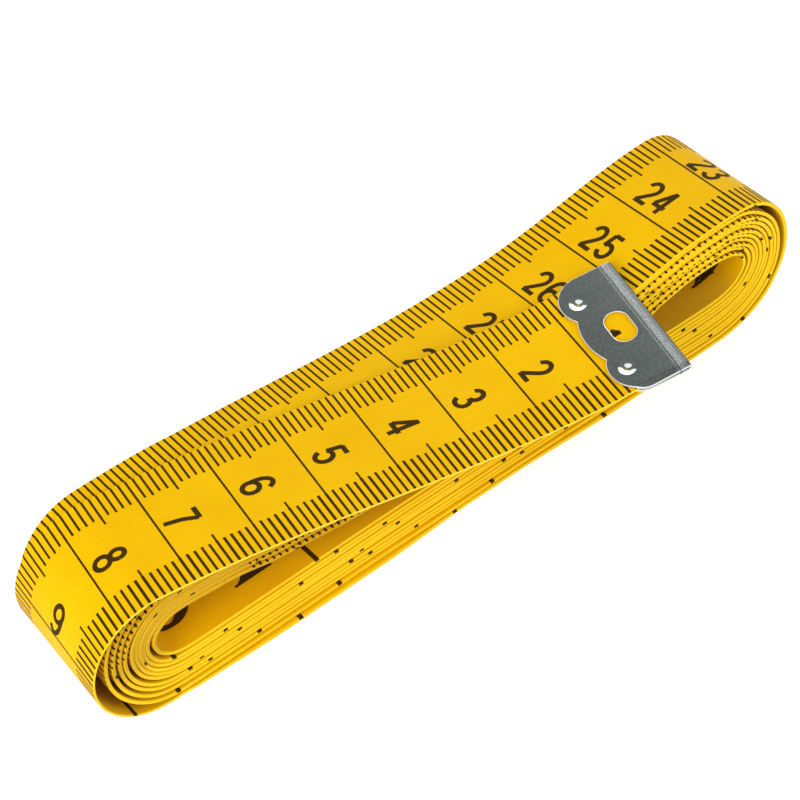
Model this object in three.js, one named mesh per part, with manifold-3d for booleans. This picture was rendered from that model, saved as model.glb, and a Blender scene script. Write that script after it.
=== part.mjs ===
// A cloth tape measure wound flat into an oblong roll, its first end lying free on top.
// Millimetres, Z up. X runs along the roll, Y across the tape, the underside rests at Z = 0.
// Pieces: the wound tape, the free end of the same tape, and a folded steel tip on each end.
import * as THREE from "three";
import { mergeVertices } from "three/addons/utils/BufferGeometryUtils.js";
import Module from "manifold-3d";

// Tape.
const TAPE_WIDTH = 20;
const TAPE_THICKNESS = 0.25;
const TURN_GAP = 0.43;
const TURNS = 11;

// Bore: middle of the innermost turn, a flat floor under two rounded ends and a dipped roof.
const BORE_LENGTH = 98.3;
const BORE_RIGHT_SHARE = 0.511;
const BORE_WAIST_SHARE = 0.143;
const BORE_RIGHT_HEIGHT = 6.93;
const BORE_LEFT_HEIGHT = 7.56;
const BORE_WAIST_HEIGHT = 3.31;
const RIGHT_FLOOR_INSET = 6.55;
const RIGHT_ROOF_INSET = 0.9;
const RIGHT_NOSE_SHARE = 0.635;
const RIGHT_DIP_POWER = 1.3;
const LEFT_INSET = 3.8;
const LEFT_NOSE_SHARE = 0.504;
const LEFT_CREST_INSET = 6.55;

// Free end: it leaves the roll at the left and comes back over the top, turned in plan.
const FREE_LENGTH = 108.4;
const FREE_ANGLE = 8.9;
const FREE_TWIST = 5;
const FREE_LIFT = 0.24;
const FREE_LIFT_RUN = 60;
const HINGE_FROM_TIP = 71;
const PIECE_GAP = 0.3;
const BEND_EASE = 0.3;

// Steel tips: one plate folded over each end of the tape, the outer one pressed on a little askew.
const TIP_WIDTH = 20.8;
const TIP_LENGTH = 9.55;
const TIP_LEAF = 0.3;
const TIP_FIT = 0.3;
const TIP_LOBE = 4.15;
const TIP_CUSP_B = 3.75;
const TIP_SLOT_A = 4.45;
const TIP_SLOT_ALONG = 3.2;
const TIP_SLOT_ACROSS = 5.25;
const TIP_DIMPLE_A = 7.1;
const TIP_DIMPLE_B = 6.35;
const TIP_DIMPLE_WIDE = 2.3;
const TIP_DIMPLE_HOLE = 1.2;
const TIP_RUN_ON = 1.6;
const OUTER_TIP_SKEW = 3.4;
const OUTER_TIP_SHIFT = -0.75;

// Inner end of the tape, sprung a little clear of the turn above it so its tip has room.
const INNER_END_SHARE = 0.243;
const INNER_DROP_RUN = 16;

// Steps along the tape and round the tip.
const BEND_STEPS = 7;
const TOP_STEPS = 15;
const FREE_STEPS = 18;
const FLOOR_RUN_ON = 1.5;
const PROFILE_BEND_STEPS = 60;
const PROFILE_TOP_STEPS = 200;
const SECTION_CORNERS = 4;
const LOBE_STEPS = 8;
const ROUND_STEPS = 16;
const SMALL_STEP = 0.5;
const SLOPE_STEP = 0.01;
const JOIN = 0.02;
const CUT_RUN_ON = 0.1;

// Points for the gap test: how close together, and how far apart along the tape two of them count.
const GAP_SAMPLE = 1.5;
const GAP_APART = 40;

// Sizes that follow.
const HALF_WIDTH = TAPE_WIDTH / 2;
const HALF_THICK = TAPE_THICKNESS / 2;
const PITCH = TAPE_THICKNESS + TURN_GAP;
const TURN_COUNT = Math.max(2, Math.round(TURNS));
const STACK = (TURN_COUNT - 1) * PITCH;
const FLOOR = HALF_THICK + STACK;
const BORE_RIGHT = BORE_LENGTH * BORE_RIGHT_SHARE;
const BORE_LEFT = BORE_RIGHT - BORE_LENGTH;
const WAIST_X = BORE_LENGTH * BORE_WAIST_SHARE;
const RIGHT_FLOOR_END = BORE_RIGHT - RIGHT_FLOOR_INSET;
const RIGHT_ROOF_END = BORE_RIGHT - RIGHT_ROOF_INSET;
const RIGHT_NOSE_RISE = BORE_RIGHT_HEIGHT * RIGHT_NOSE_SHARE;
const RIGHT_NOSE_Z = FLOOR + RIGHT_NOSE_RISE;
const LEFT_END = BORE_LEFT + LEFT_INSET;
const LEFT_CREST_X = BORE_LEFT + LEFT_CREST_INSET;
const LEFT_NOSE_RISE = BORE_LEFT_HEIGHT * LEFT_NOSE_SHARE;
const LEFT_NOSE_Z = FLOOR + LEFT_NOSE_RISE;
const BEND_TURN = THREE.MathUtils.degToRad(FREE_ANGLE / 2);
const TWIST = THREE.MathUtils.degToRad(FREE_TWIST);
const SKEW = THREE.MathUtils.degToRad(OUTER_TIP_SKEW);
const BEND_SHIFT = HALF_WIDTH * Math.tan(BEND_TURN) + BEND_EASE;
const BEND_START = LEFT_END - BEND_SHIFT;
const TIP_INNER = HALF_THICK + TIP_FIT;
const TIP_OUTER = TIP_INNER + TIP_LEAF;
const TIP_STRAIGHT = TIP_LENGTH + TIP_RUN_ON;
const INNER_STOP_X = BORE_LENGTH * INNER_END_SHARE + TIP_STRAIGHT;
const INNER_DROP = TIP_LEAF + TIP_FIT;

const V = (x, y, z) => new THREE.Vector3(x, y, z);
const clamp01 = (q) => Math.min(1, Math.max(0, q));
const smooth = (q) => clamp01(q) ** 2 * (3 - 2 * clamp01(q));

// A quarter of an ellipse, its outward normal turning evenly from angle a0 to a1 as q goes from 0 to 1.
function quarter(cx, cz, a, b, a0, a1, q) {
  const turn = a0 + (a1 - a0) * q;
  const n = V(Math.cos(turn), 0, Math.sin(turn));
  const t = Math.atan2(b * n.z, a * n.x);
  return { p: V(cx + a * Math.cos(t), 0, cz + b * Math.sin(t)), n };
}

// The four rounded quarters of the bore, in the order the tape runs.
const UP = Math.PI / 2;
const LEFT = Math.PI;
const DOWN = 1.5 * Math.PI;
const RIGHT = 2 * Math.PI;
const leftUpper = (q) =>
  quarter(LEFT_END, LEFT_NOSE_Z, LEFT_INSET, BORE_LEFT_HEIGHT - LEFT_NOSE_RISE, UP, LEFT, q);
const leftLower = (q) =>
  quarter(LEFT_END, LEFT_NOSE_Z, LEFT_INSET, LEFT_NOSE_RISE, LEFT, DOWN, q);
const rightLower = (q) =>
  quarter(RIGHT_FLOOR_END, RIGHT_NOSE_Z, RIGHT_FLOOR_INSET, RIGHT_NOSE_RISE, DOWN, RIGHT, q);
const rightUpper = (q) =>
  quarter(RIGHT_ROOF_END, RIGHT_NOSE_Z, RIGHT_ROOF_INSET, BORE_RIGHT_HEIGHT - RIGHT_NOSE_RISE, 0, UP, q);

// The roof of the bore: from the right crest down to the waist and up to the left crest.
function roofZ(x) {
  const right = smooth(clamp01((x - WAIST_X) / (RIGHT_ROOF_END - WAIST_X)) ** RIGHT_DIP_POWER);
  const left = smooth((WAIST_X - x) / (WAIST_X - LEFT_CREST_X));
  const rise = x > WAIST_X
    ? (BORE_RIGHT_HEIGHT - BORE_WAIST_HEIGHT) * right
    : (BORE_LEFT_HEIGHT - BORE_WAIST_HEIGHT) * left;
  return FLOOR + BORE_WAIST_HEIGHT + rise;
}

function roof(x) {
  const slope = (roofZ(x + SLOPE_STEP) - roofZ(x - SLOPE_STEP)) / (2 * SLOPE_STEP);
  return { p: V(x, 0, roofZ(x)), n: V(-slope, 0, 1).normalize() };
}

// Share of a pitch by which a top run has sunk, from 0 at the right to 1 at the left.
const sunk = (x) => smooth((RIGHT_ROOF_END - x) / (RIGHT_ROOF_END - LEFT_END));

const moved = (c, d) => ({ p: c.p.clone().addScaledVector(c.n, d), n: c.n });

// Section of the first turn's left bend and of the free end, from the floor to the right,
// as points with their distance along it. The bend stands further out so that its turned edges clear.
const freeProfile = [];
for (let i = 0; i <= PROFILE_BEND_STEPS; i++)
  freeProfile.push(moved(leftLower(1 - i / PROFILE_BEND_STEPS), STACK));
for (let i = 1; i <= PROFILE_BEND_STEPS; i++)
  freeProfile.push(moved(leftUpper(1 - i / PROFILE_BEND_STEPS), STACK));
for (const at of freeProfile) at.p.x -= BEND_SHIFT;
for (let i = 1; i <= PROFILE_TOP_STEPS; i++) {
  const x = LEFT_END + ((RIGHT_ROOF_END - LEFT_END) * i) / PROFILE_TOP_STEPS;
  const lift = FREE_LIFT * smooth((x - LEFT_END) / FREE_LIFT_RUN);
  freeProfile.push(moved(roof(x), STACK + PITCH * (1 - sunk(x)) + lift));
}
freeProfile[0].along = 0;
for (let i = 1; i < freeProfile.length; i++) {
  const step = freeProfile[i].p.distanceTo(freeProfile[i - 1].p);
  freeProfile[i].along = freeProfile[i - 1].along + step;
}

function onProfile(along) {
  let i = 1;
  while (i < freeProfile.length - 1 && freeProfile[i].along < along) i++;
  const a = freeProfile[i - 1];
  const b = freeProfile[i];
  const q = (along - a.along) / (b.along - a.along);
  return { p: a.p.clone().lerp(b.p, q), n: a.n.clone().lerp(b.n, q).normalize() };
}

// A point of the first turn: s from the fold of the tip, w across. On the left bend and the free
// end the tape lies on a cylinder whose straight lines are turned by half the free angle.
function freePoint(s, w) {
  const c = Math.cos(BEND_TURN);
  const k = Math.sin(BEND_TURN);
  const u = s - FREE_LENGTH;
  const across = u * k + w * c;
  const along = w * k - u * c;
  const at = along > 0 ? onProfile(along) : { p: V(BEND_START - along, 0, HALF_THICK), n: V(0, 0, -1) };
  const e = at.p.x - BEND_START;
  return {
    p: V(BEND_START + e * c + across * k, across * c - e * k, at.p.z),
    n: V(at.n.x * c, -at.n.x * k, at.n.z),
  };
}

// Frame of the free end at s: place, direction towards the roll, direction across and normal.
function freeFrame(s) {
  const held = Math.max(s, TIP_STRAIGHT);
  const p = freePoint(held, 0).p;
  const before = s > TIP_STRAIGHT ? held - SMALL_STEP : 0;
  const along = freePoint(held + SMALL_STEP, 0).p.sub(freePoint(before, 0).p).normalize();
  const level = V(0, 0, 1).cross(along).negate().normalize();
  const turn = TWIST * clamp01((HINGE_FROM_TIP - held) / HINGE_FROM_TIP);
  const across = level.applyAxisAngle(along, -turn);
  const normal = across.clone().cross(along).normalize();
  p.addScaledVector(along, s - held);
  return { p, along, across, normal };
}

// A strip from sections, each one holding its near and far middle points and normals.
function strip(sections) {
  const points = [];
  for (const { near, far } of sections) {
    points.push(near.p.clone().addScaledVector(near.n, HALF_THICK));
    points.push(far.p.clone().addScaledVector(far.n, HALF_THICK));
    points.push(far.p.clone().addScaledVector(far.n, -HALF_THICK));
    points.push(near.p.clone().addScaledVector(near.n, -HALF_THICK));
  }
  const index = [0, 2, 1, 0, 3, 2];
  for (let i = 0; i < sections.length - 1; i++)
    for (let j = 0; j < SECTION_CORNERS; j++) {
      const a = SECTION_CORNERS * i + j;
      const b = SECTION_CORNERS * i + ((j + 1) % SECTION_CORNERS);
      index.push(a, b, a + SECTION_CORNERS, b, b + SECTION_CORNERS, a + SECTION_CORNERS);
    }
  const e = points.length - SECTION_CORNERS;
  index.push(e, e + 1, e + 2, e, e + 2, e + 3);
  const g = new THREE.BufferGeometry().setFromPoints(points);
  g.setIndex(index);
  return g;
}

const straightAcross = (c) => ({
  near: { p: c.p.clone().setY(-HALF_WIDTH), n: c.n },
  far: { p: c.p.clone().setY(HALF_WIDTH), n: c.n },
});
const fromFrame = (f) => ({
  near: { p: f.p.clone().addScaledVector(f.across, -HALF_WIDTH), n: f.normal },
  far: { p: f.p.clone().addScaledVector(f.across, HALF_WIDTH), n: f.normal },
});

// The wound tape, from the hinge line round and inwards to the inner end.
const wound = [];
const cutS = HINGE_FROM_TIP + PIECE_GAP / 2;
for (let i = 0; i <= FREE_STEPS; i++) {
  const s = cutS + ((FREE_LENGTH + FLOOR_RUN_ON - cutS) * i) / FREE_STEPS;
  wound.push({ near: freePoint(s, -HALF_WIDTH), far: freePoint(s, HALF_WIDTH) });
}
function bend(lower, upper, d) {
  for (let i = 0; i <= BEND_STEPS; i++) wound.push(straightAcross(moved(lower(i / BEND_STEPS), d)));
  for (let i = 1; i <= BEND_STEPS; i++) wound.push(straightAcross(moved(upper(i / BEND_STEPS), d)));
}
for (let k = 0; k < TURN_COUNT; k++) {
  const d = STACK - k * PITCH;
  const last = k === TURN_COUNT - 1;
  if (k > 0) bend(leftUpper, leftLower, d);
  bend(rightLower, rightUpper, d);
  const stop = last ? INNER_STOP_X : LEFT_END;
  for (let i = 1; i <= TOP_STEPS; i++) {
    const x = Math.max(stop, RIGHT_ROOF_END + ((LEFT_END - RIGHT_ROOF_END) * i) / TOP_STEPS);
    const drop = last ? INNER_DROP * smooth(1 - (x - stop) / INNER_DROP_RUN) : 0;
    wound.push(straightAcross(moved(roof(x), d - PITCH * sunk(x) - drop)));
    if (x === stop) break;
  }
}

// Frame of the inner end: the tape runs straight into its tip.
const innerStart = moved(roof(INNER_STOP_X), -PITCH * sunk(INNER_STOP_X) - INNER_DROP);
const innerAlong = V(innerStart.n.z, 0, -innerStart.n.x);
const innerFrame = {
  p: innerStart.p.clone().addScaledVector(innerAlong, -TIP_STRAIGHT),
  along: innerAlong,
  across: V(0, 1, 0),
};
const innerTape = innerFrame.p.clone().addScaledVector(innerAlong, TIP_OUTER);
wound.push(straightAcross({ p: innerTape, n: innerStart.n }));

// The free end, from inside its tip to the hinge line, cut off askew like the fold of the tip.
const outerFrame = freeFrame(0);
const endFrame = freeFrame(TIP_OUTER);
const cutEnd = fromFrame(endFrame);
cutEnd.near.p.addScaledVector(endFrame.along, HALF_WIDTH * Math.tan(SKEW));
cutEnd.far.p.addScaledVector(endFrame.along, -HALF_WIDTH * Math.tan(SKEW));
const free = [cutEnd];
for (let i = 0; i <= FREE_STEPS; i++) {
  const s = TIP_STRAIGHT + ((HINGE_FROM_TIP - PIECE_GAP / 2 - TIP_STRAIGHT) * i) / FREE_STEPS;
  free.push(fromFrame(freeFrame(s)));
}

// Least gap between one turn and the next, measured on points along both edges and the middle.
function leastGap(sections) {
  const points = [];
  let run = 0;
  for (let i = 0; i < sections.length - 1; i++) {
    const a = sections[i];
    const b = sections[i + 1];
    const length = a.near.p.distanceTo(b.near.p);
    const steps = Math.max(1, Math.ceil(length / GAP_SAMPLE));
    for (let j = 0; j < steps; j++)
      for (const q of [0, 0.5, 1]) {
        const next = b.near.p.clone().lerp(b.far.p, q);
        const p = a.near.p.clone().lerp(a.far.p, q).lerp(next, j / steps);
        points.push([p.x, p.y, p.z, run + (length * j) / steps]);
      }
    run += length;
  }
  let least = Infinity;
  for (let i = 0; i < points.length; i++)
    for (let j = i + 1; j < points.length; j++) {
      if (Math.abs(points[i][3] - points[j][3]) < GAP_APART) continue;
      const dx = points[i][0] - points[j][0];
      const dy = points[i][1] - points[j][1];
      const dz = points[i][2] - points[j][2];
      least = Math.min(least, dx * dx + dy * dy + dz * dz);
    }
  return { gap: Math.sqrt(least) - TAPE_THICKNESS, run };
}
const measured = leastGap(wound);
console.log("least gap between turns, mm:", measured.gap.toFixed(3));
console.log("tape length, mm:", (measured.run + cutS).toFixed(0));

// A closed mesh as a solid for joining and cutting, and back.
const wasm = await Module();
wasm.setup();
function solid(geometry) {
  const plain = new THREE.BufferGeometry();
  const loose = geometry.index ? geometry.toNonIndexed() : geometry;
  plain.setAttribute("position", loose.getAttribute("position"));
  const merged = mergeVertices(plain, 1e-4);
  return new wasm.Manifold(new wasm.Mesh({
    numProp: 3,
    vertProperties: merged.attributes.position.array,
    triVerts: new Uint32Array(merged.index.array),
  }));
}
function geometryOf(made) {
  const m = made.getMesh();
  const g = new THREE.BufferGeometry();
  g.setAttribute("position", new THREE.BufferAttribute(new Float32Array(m.vertProperties), 3));
  g.setIndex(new THREE.BufferAttribute(new Uint32Array(m.triVerts), 1));
  return g;
}

// Points of an arc about (a, b), both ends included.
function arc(a, b, radius, from, to) {
  const points = [];
  for (let i = 0; i <= LOBE_STEPS; i++) {
    const t = from + ((to - from) * i) / LOBE_STEPS;
    points.push(new THREE.Vector2(a + radius * Math.cos(t), b + radius * Math.sin(t)));
  }
  return points;
}

// Outline of one leaf: straight sides and an edge of three lobes that meet in two cusps.
function leafShape() {
  const side = TIP_WIDTH / 2;
  const centre = side - TIP_LOBE;
  const lobeA = TIP_LENGTH - TIP_LOBE;
  const turn = Math.asin((centre - TIP_CUSP_B) / TIP_LOBE);
  const depth = TIP_LOBE * (1 - Math.cos(turn));
  const middle = (TIP_CUSP_B ** 2 + depth ** 2) / (2 * depth);
  const spread = Math.asin(TIP_CUSP_B / middle);
  const start = TIP_OUTER - JOIN;
  const outline = [
    new THREE.Vector2(start, -side),
    ...arc(lobeA, -centre, TIP_LOBE, -UP, turn),
    ...arc(TIP_LENGTH - middle, 0, middle, -spread, spread).slice(1, -1),
    ...arc(lobeA, centre, TIP_LOBE, -turn, UP),
    new THREE.Vector2(start, side),
  ];
  const shape = new THREE.Shape(outline);
  const r = TIP_SLOT_ALONG / 2;
  const reach = TIP_SLOT_ACROSS / 2 - r;
  const slot = new THREE.Path();
  slot.absarc(TIP_SLOT_A, reach, r, 0, Math.PI, false);
  slot.absarc(TIP_SLOT_A, -reach, r, Math.PI, 2 * Math.PI, false);
  slot.closePath();
  shape.holes.push(slot);
  return shape;
}

// One tip: two leaves, the fold that joins them and two pressed dimples pierced through.
function tipSolid() {
  const leaf = new THREE.ExtrudeGeometry(leafShape(), {
    depth: TIP_LEAF,
    bevelEnabled: false,
    curveSegments: LOBE_STEPS,
  });
  const upper = leaf.clone().translate(0, 0, TIP_INNER);
  const lower = leaf.clone().translate(0, 0, -TIP_OUTER);
  const ring = new THREE.Shape();
  ring.absarc(0, 0, TIP_OUTER, UP, DOWN, false);
  ring.absarc(0, 0, TIP_INNER, DOWN, UP, true);
  ring.closePath();
  const fold = new THREE.ExtrudeGeometry(ring, {
    depth: TIP_WIDTH,
    bevelEnabled: false,
    curveSegments: LOBE_STEPS,
  });
  fold.rotateX(Math.PI / 2).translate(TIP_OUTER, TIP_WIDTH / 2, 0);
  let made = solid(upper).add(solid(fold)).add(solid(lower));
  const grow = ((TIP_DIMPLE_WIDE - TIP_DIMPLE_HOLE) / 2 / TIP_LEAF) * CUT_RUN_ON;
  const wide = TIP_DIMPLE_WIDE / 2 + grow;
  const narrow = TIP_DIMPLE_HOLE / 2 - grow;
  for (const b of [-TIP_DIMPLE_B, TIP_DIMPLE_B])
    for (const face of [-1, 1]) {
      const cone = new THREE.CylinderGeometry(wide, narrow, TIP_LEAF + 2 * CUT_RUN_ON, ROUND_STEPS);
      cone.rotateX((face * Math.PI) / 2);
      cone.translate(TIP_DIMPLE_A, b, face * (TIP_INNER + TIP_LEAF / 2));
      made = made.subtract(solid(cone));
    }
  return made;
}

// The tip put on the end of the tape, moved across it and turned about its face.
const TIP = geometryOf(tipSolid());
function placedTip(f, shift, skew) {
  const normal = f.along.clone().cross(f.across);
  const along = f.along.clone().applyAxisAngle(normal, skew);
  const across = f.across.clone().applyAxisAngle(normal, skew);
  const m = new THREE.Matrix4().makeBasis(along, across, normal);
  m.setPosition(f.p.clone().addScaledVector(f.across, shift));
  return TIP.clone().applyMatrix4(m);
}

const yellow = new THREE.MeshStandardMaterial({ color: 0xf6c208, roughness: 0.5, metalness: 0 });
const steel = new THREE.MeshStandardMaterial({ color: 0x6c7173, roughness: 0.35, metalness: 0.9 });

const tape = new THREE.Group();
function piece(name, geometry, material) {
  const mesh = new THREE.Mesh(geometry, material);
  mesh.name = name;
  tape.add(mesh);
}
piece("tape_roll", strip(wound), yellow);
piece("tape_free_end", strip(free), yellow);
piece("outer_end_tip", placedTip(outerFrame, OUTER_TIP_SHIFT, SKEW), steel);
piece("inner_end_tip", placedTip(innerFrame, 0, 0), steel);

export default tape;
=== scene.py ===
import math

import bmesh
import bpy
import numpy as np
from bpy.props import FloatProperty, FloatVectorProperty, PointerProperty
from mathutils import Matrix


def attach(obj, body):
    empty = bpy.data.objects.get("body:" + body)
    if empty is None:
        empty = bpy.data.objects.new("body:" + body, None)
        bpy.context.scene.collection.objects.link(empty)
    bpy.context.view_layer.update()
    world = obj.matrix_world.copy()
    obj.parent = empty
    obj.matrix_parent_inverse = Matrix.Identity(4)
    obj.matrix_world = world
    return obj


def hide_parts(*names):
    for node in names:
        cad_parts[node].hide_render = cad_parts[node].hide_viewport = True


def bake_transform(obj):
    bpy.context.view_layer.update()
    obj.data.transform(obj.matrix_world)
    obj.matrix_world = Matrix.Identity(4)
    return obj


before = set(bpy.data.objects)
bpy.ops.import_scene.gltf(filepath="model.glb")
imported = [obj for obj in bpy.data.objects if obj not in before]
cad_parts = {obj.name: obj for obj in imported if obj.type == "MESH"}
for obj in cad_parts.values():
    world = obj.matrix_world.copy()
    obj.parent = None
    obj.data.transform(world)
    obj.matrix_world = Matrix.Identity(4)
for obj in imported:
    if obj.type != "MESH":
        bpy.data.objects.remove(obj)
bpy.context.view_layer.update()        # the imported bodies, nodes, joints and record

# A cloth tape measure wound flat into an oblong roll, its first end lying free on top.
# The same frame as the solids: X along the roll, Y across the tape, Z up, the underside at Z = 0.
# Lengths in the shape code are millimetres, and every mesh is stored in metres.

bl_info = {
    "name": "Cloth tape measure",
    "version": (1, 0, 0),
    "blender": (4, 5, 0),
    "location": "3D View > Sidebar > Tape measure",
    "description": "Builds a wound tailor's tape with its printed scales and steel tips",
    "category": "Object",
}

MM = 0.001

# The cloth: from its middle line to the near and the far edge, out to its outer face, the chamfer of
# its cut edges and its whole length.
HALF_WIDTH = 10.0
FAR_EDGE = 9.6
OUTER_FACE = 0.125
CHAMFER = 0.07
TAPE_LENGTH = 2482.6

# The winding of the solids: even turns at one pitch.
PITCH = 0.68
TURNS = 11
STACK = (TURNS - 1) * PITCH
FLOOR = OUTER_FACE + STACK

# The bore: a flat floor, two elliptic ends, and a roof that dips from both crests to a waist.
BORE_LENGTH = 98.3
BORE_RIGHT = 0.511 * BORE_LENGTH
BORE_LEFT = BORE_RIGHT - BORE_LENGTH
WAIST_X = 0.143 * BORE_LENGTH
RIGHT_HEIGHT, LEFT_HEIGHT, WAIST_HEIGHT = 6.93, 7.56, 3.31
RIGHT_FLOOR_INSET, RIGHT_ROOF_INSET, LEFT_INSET = 6.55, 0.9, 3.8
RIGHT_NOSE = 0.635 * RIGHT_HEIGHT
LEFT_NOSE = 0.504 * LEFT_HEIGHT
RIGHT_DIP_POWER = 1.3
RIGHT_FLOOR_END = BORE_RIGHT - RIGHT_FLOOR_INSET
RIGHT_ROOF_END = BORE_RIGHT - RIGHT_ROOF_INSET
LEFT_END = BORE_LEFT + LEFT_INSET
LEFT_CREST_X = BORE_LEFT + 6.55

# The free end and the bend before it. A name with S is a distance along the tape from its first fold.
FREE_LENGTH = 108.4
FREE_START_S, SPLIT_S, HINGE_S = 1.3, 81.5, 71.0
BEND_TURN = math.radians(8.9 / 2)
BEND_SHIFT = HALF_WIDTH * math.tan(BEND_TURN) + 0.3
BEND_START = LEFT_END - BEND_SHIFT
BEND_BULGE = 0.38
TWIST = math.radians(5.0)
FREE_LIFT, FREE_LIFT_RUN = 0.24, 60.0
THICKEN_FROM_S, THICKEN_RUN = 92.0, 34.0

# The ink: how far it stands off the cut edge, where it turns the corner to it and how far it runs down.
INCH = 25.4
INK_EDGE = HALF_WIDTH + 0.015
INK_CORNER = HALF_WIDTH - 0.06
INK_OVER = 0.08
PRINT_DRIFT, DRIFT_FROM_S, DRIFT_RUN = 0.4, 105.0, 60.0
WORN_BAR = 93
INCH_NUDGE = {97: (0.0, 3.3)}
# The colour of the painted shade on the inner turns' near edges under the free end and on the bore's
# floor under its roof.
PAINTED_SHADE_COLOUR = (0.52, 0.31, 0.02, 1)

# The steel tips: A runs along the tape from the fold and B across it. The angle turns the painted
# highlights in the dimples, a crescent and a spot of bright steel.
TIP_WIDTH, TIP_LENGTH, TIP_LOBE, TIP_CUSP_B = 20.8, 9.55, 4.15, 3.75
TIP_STRAIGHT = TIP_LENGTH + 1.6
TIP_SKEW, TIP_SHIFT, TIP_REACH = math.radians(3.4), -0.65, 0.25
TIP_SHEET, TIP_HALF, TIP_PINCH = 0.28, 0.52, 0.34
FOLD_RADIUS = TIP_HALF - TIP_SHEET / 2
SLOT_A, SLOT_ALONG, SLOT_ACROSS = 4.45, 3.2, 5.25
DIMPLE_A, DIMPLE_B, DIMPLE_WIDE, DIMPLE_HOLE, DIMPLE_DEPTH = 7.1, 6.35, 2.3, 0.26, 0.29
DIMPLE_HIGHLIGHT_TURN = 0.94
INNER_STOP_X = 0.243 * BORE_LENGTH + TIP_STRAIGHT
INNER_DROP, INNER_RISE, INNER_LEAVE_X = 0.6, 0.5, 35.0
INNER_SLACK = np.array([0.5, 0.15])

# How the hand-wound turns lie, at places round the roll: 0 left crest, 1 left end, 2 and 3 the ends
# of the floor, 4 right end, 5 right crest, 6 the left crest again. A row of LAID_IN is the distance
# of each turn, from the outermost inwards, from where the outermost one runs.
PLACES = np.array([0, 0.35, 1, 1.6, 2, 2.4, 2.62, 3, 3.5, 4, 4.55, 5, 5.06, 5.45, 5.72, 5.83, 5.91, 6])
LAID_IN = np.array([
    [0.00, 0.62, 1.25, 1.95, 2.65, 3.32, 3.88, 4.44, 5.00, 5.56, 6.12, 6.68],
    [0.00, -0.05, 0.75, 1.70, 2.65, 3.45, 4.00, 4.54, 5.08, 5.62, 6.17, 6.72],
    [0.00, -0.20, 0.85, 1.80, 2.50, 3.55, 4.15, 4.72, 5.25, 5.80, 6.85, 7.40],
    [0.00, 0.20, 1.00, 1.85, 2.60, 3.50, 4.15, 4.75, 5.35, 6.00, 7.05, 7.60],
    [0.00, 0.68, 1.40, 2.08, 2.76, 3.44, 4.12, 4.78, 5.44, 6.10, 6.80, 7.48],
    [0.00, 0.66, 1.32, 1.98, 2.64, 3.30, 3.96, 4.62, 5.28, 5.94, 6.62, 7.30],
    [0.00, 0.66, 1.32, 1.98, 2.64, 3.30, 3.96, 4.62, 5.28, 5.94, 6.62, 7.30],
    [0.00, 0.66, 1.34, 2.02, 2.70, 3.38, 4.06, 4.74, 5.42, 6.10, 6.80, 7.50],
    [0.00, 0.90, 1.50, 2.10, 2.75, 3.40, 4.05, 4.70, 5.35, 6.05, 6.90, 7.50],
    [0.00, 1.20, 1.80, 2.40, 3.00, 3.60, 4.20, 4.80, 5.40, 6.05, 6.95, 7.50],
    [0.20, 1.52, 2.10, 2.68, 3.26, 3.84, 4.42, 5.00, 5.56, 6.12, 6.75, 7.30],
    [0.20, 0.84, 1.54, 2.08, 2.62, 3.20, 3.74, 4.28, 4.90, 5.44, 6.20, 6.80],
    [0.18, 0.74, 1.32, 1.86, 2.38, 2.95, 3.48, 4.01, 4.58, 5.11, 5.68, 6.22],
    [0.00, 0.57, 1.14, 1.71, 2.28, 2.87, 3.46, 4.10, 4.80, 5.50, 6.20, 6.90],
    [0.00, 0.60, 1.35, 2.15, 2.95, 3.75, 4.55, 5.40, 6.25, 7.15, 8.10, 9.00],
    [0.00, 0.60, 1.32, 2.08, 2.85, 3.62, 4.40, 5.20, 6.00, 6.85, 7.70, 8.50],
    [0.00, 0.60, 1.26, 1.98, 2.68, 3.36, 4.00, 4.64, 5.28, 5.94, 6.60, 7.25],
    [0.00, 0.62, 1.25, 1.95, 2.65, 3.32, 3.88, 4.44, 5.00, 5.56, 6.12, 6.68],
])
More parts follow.
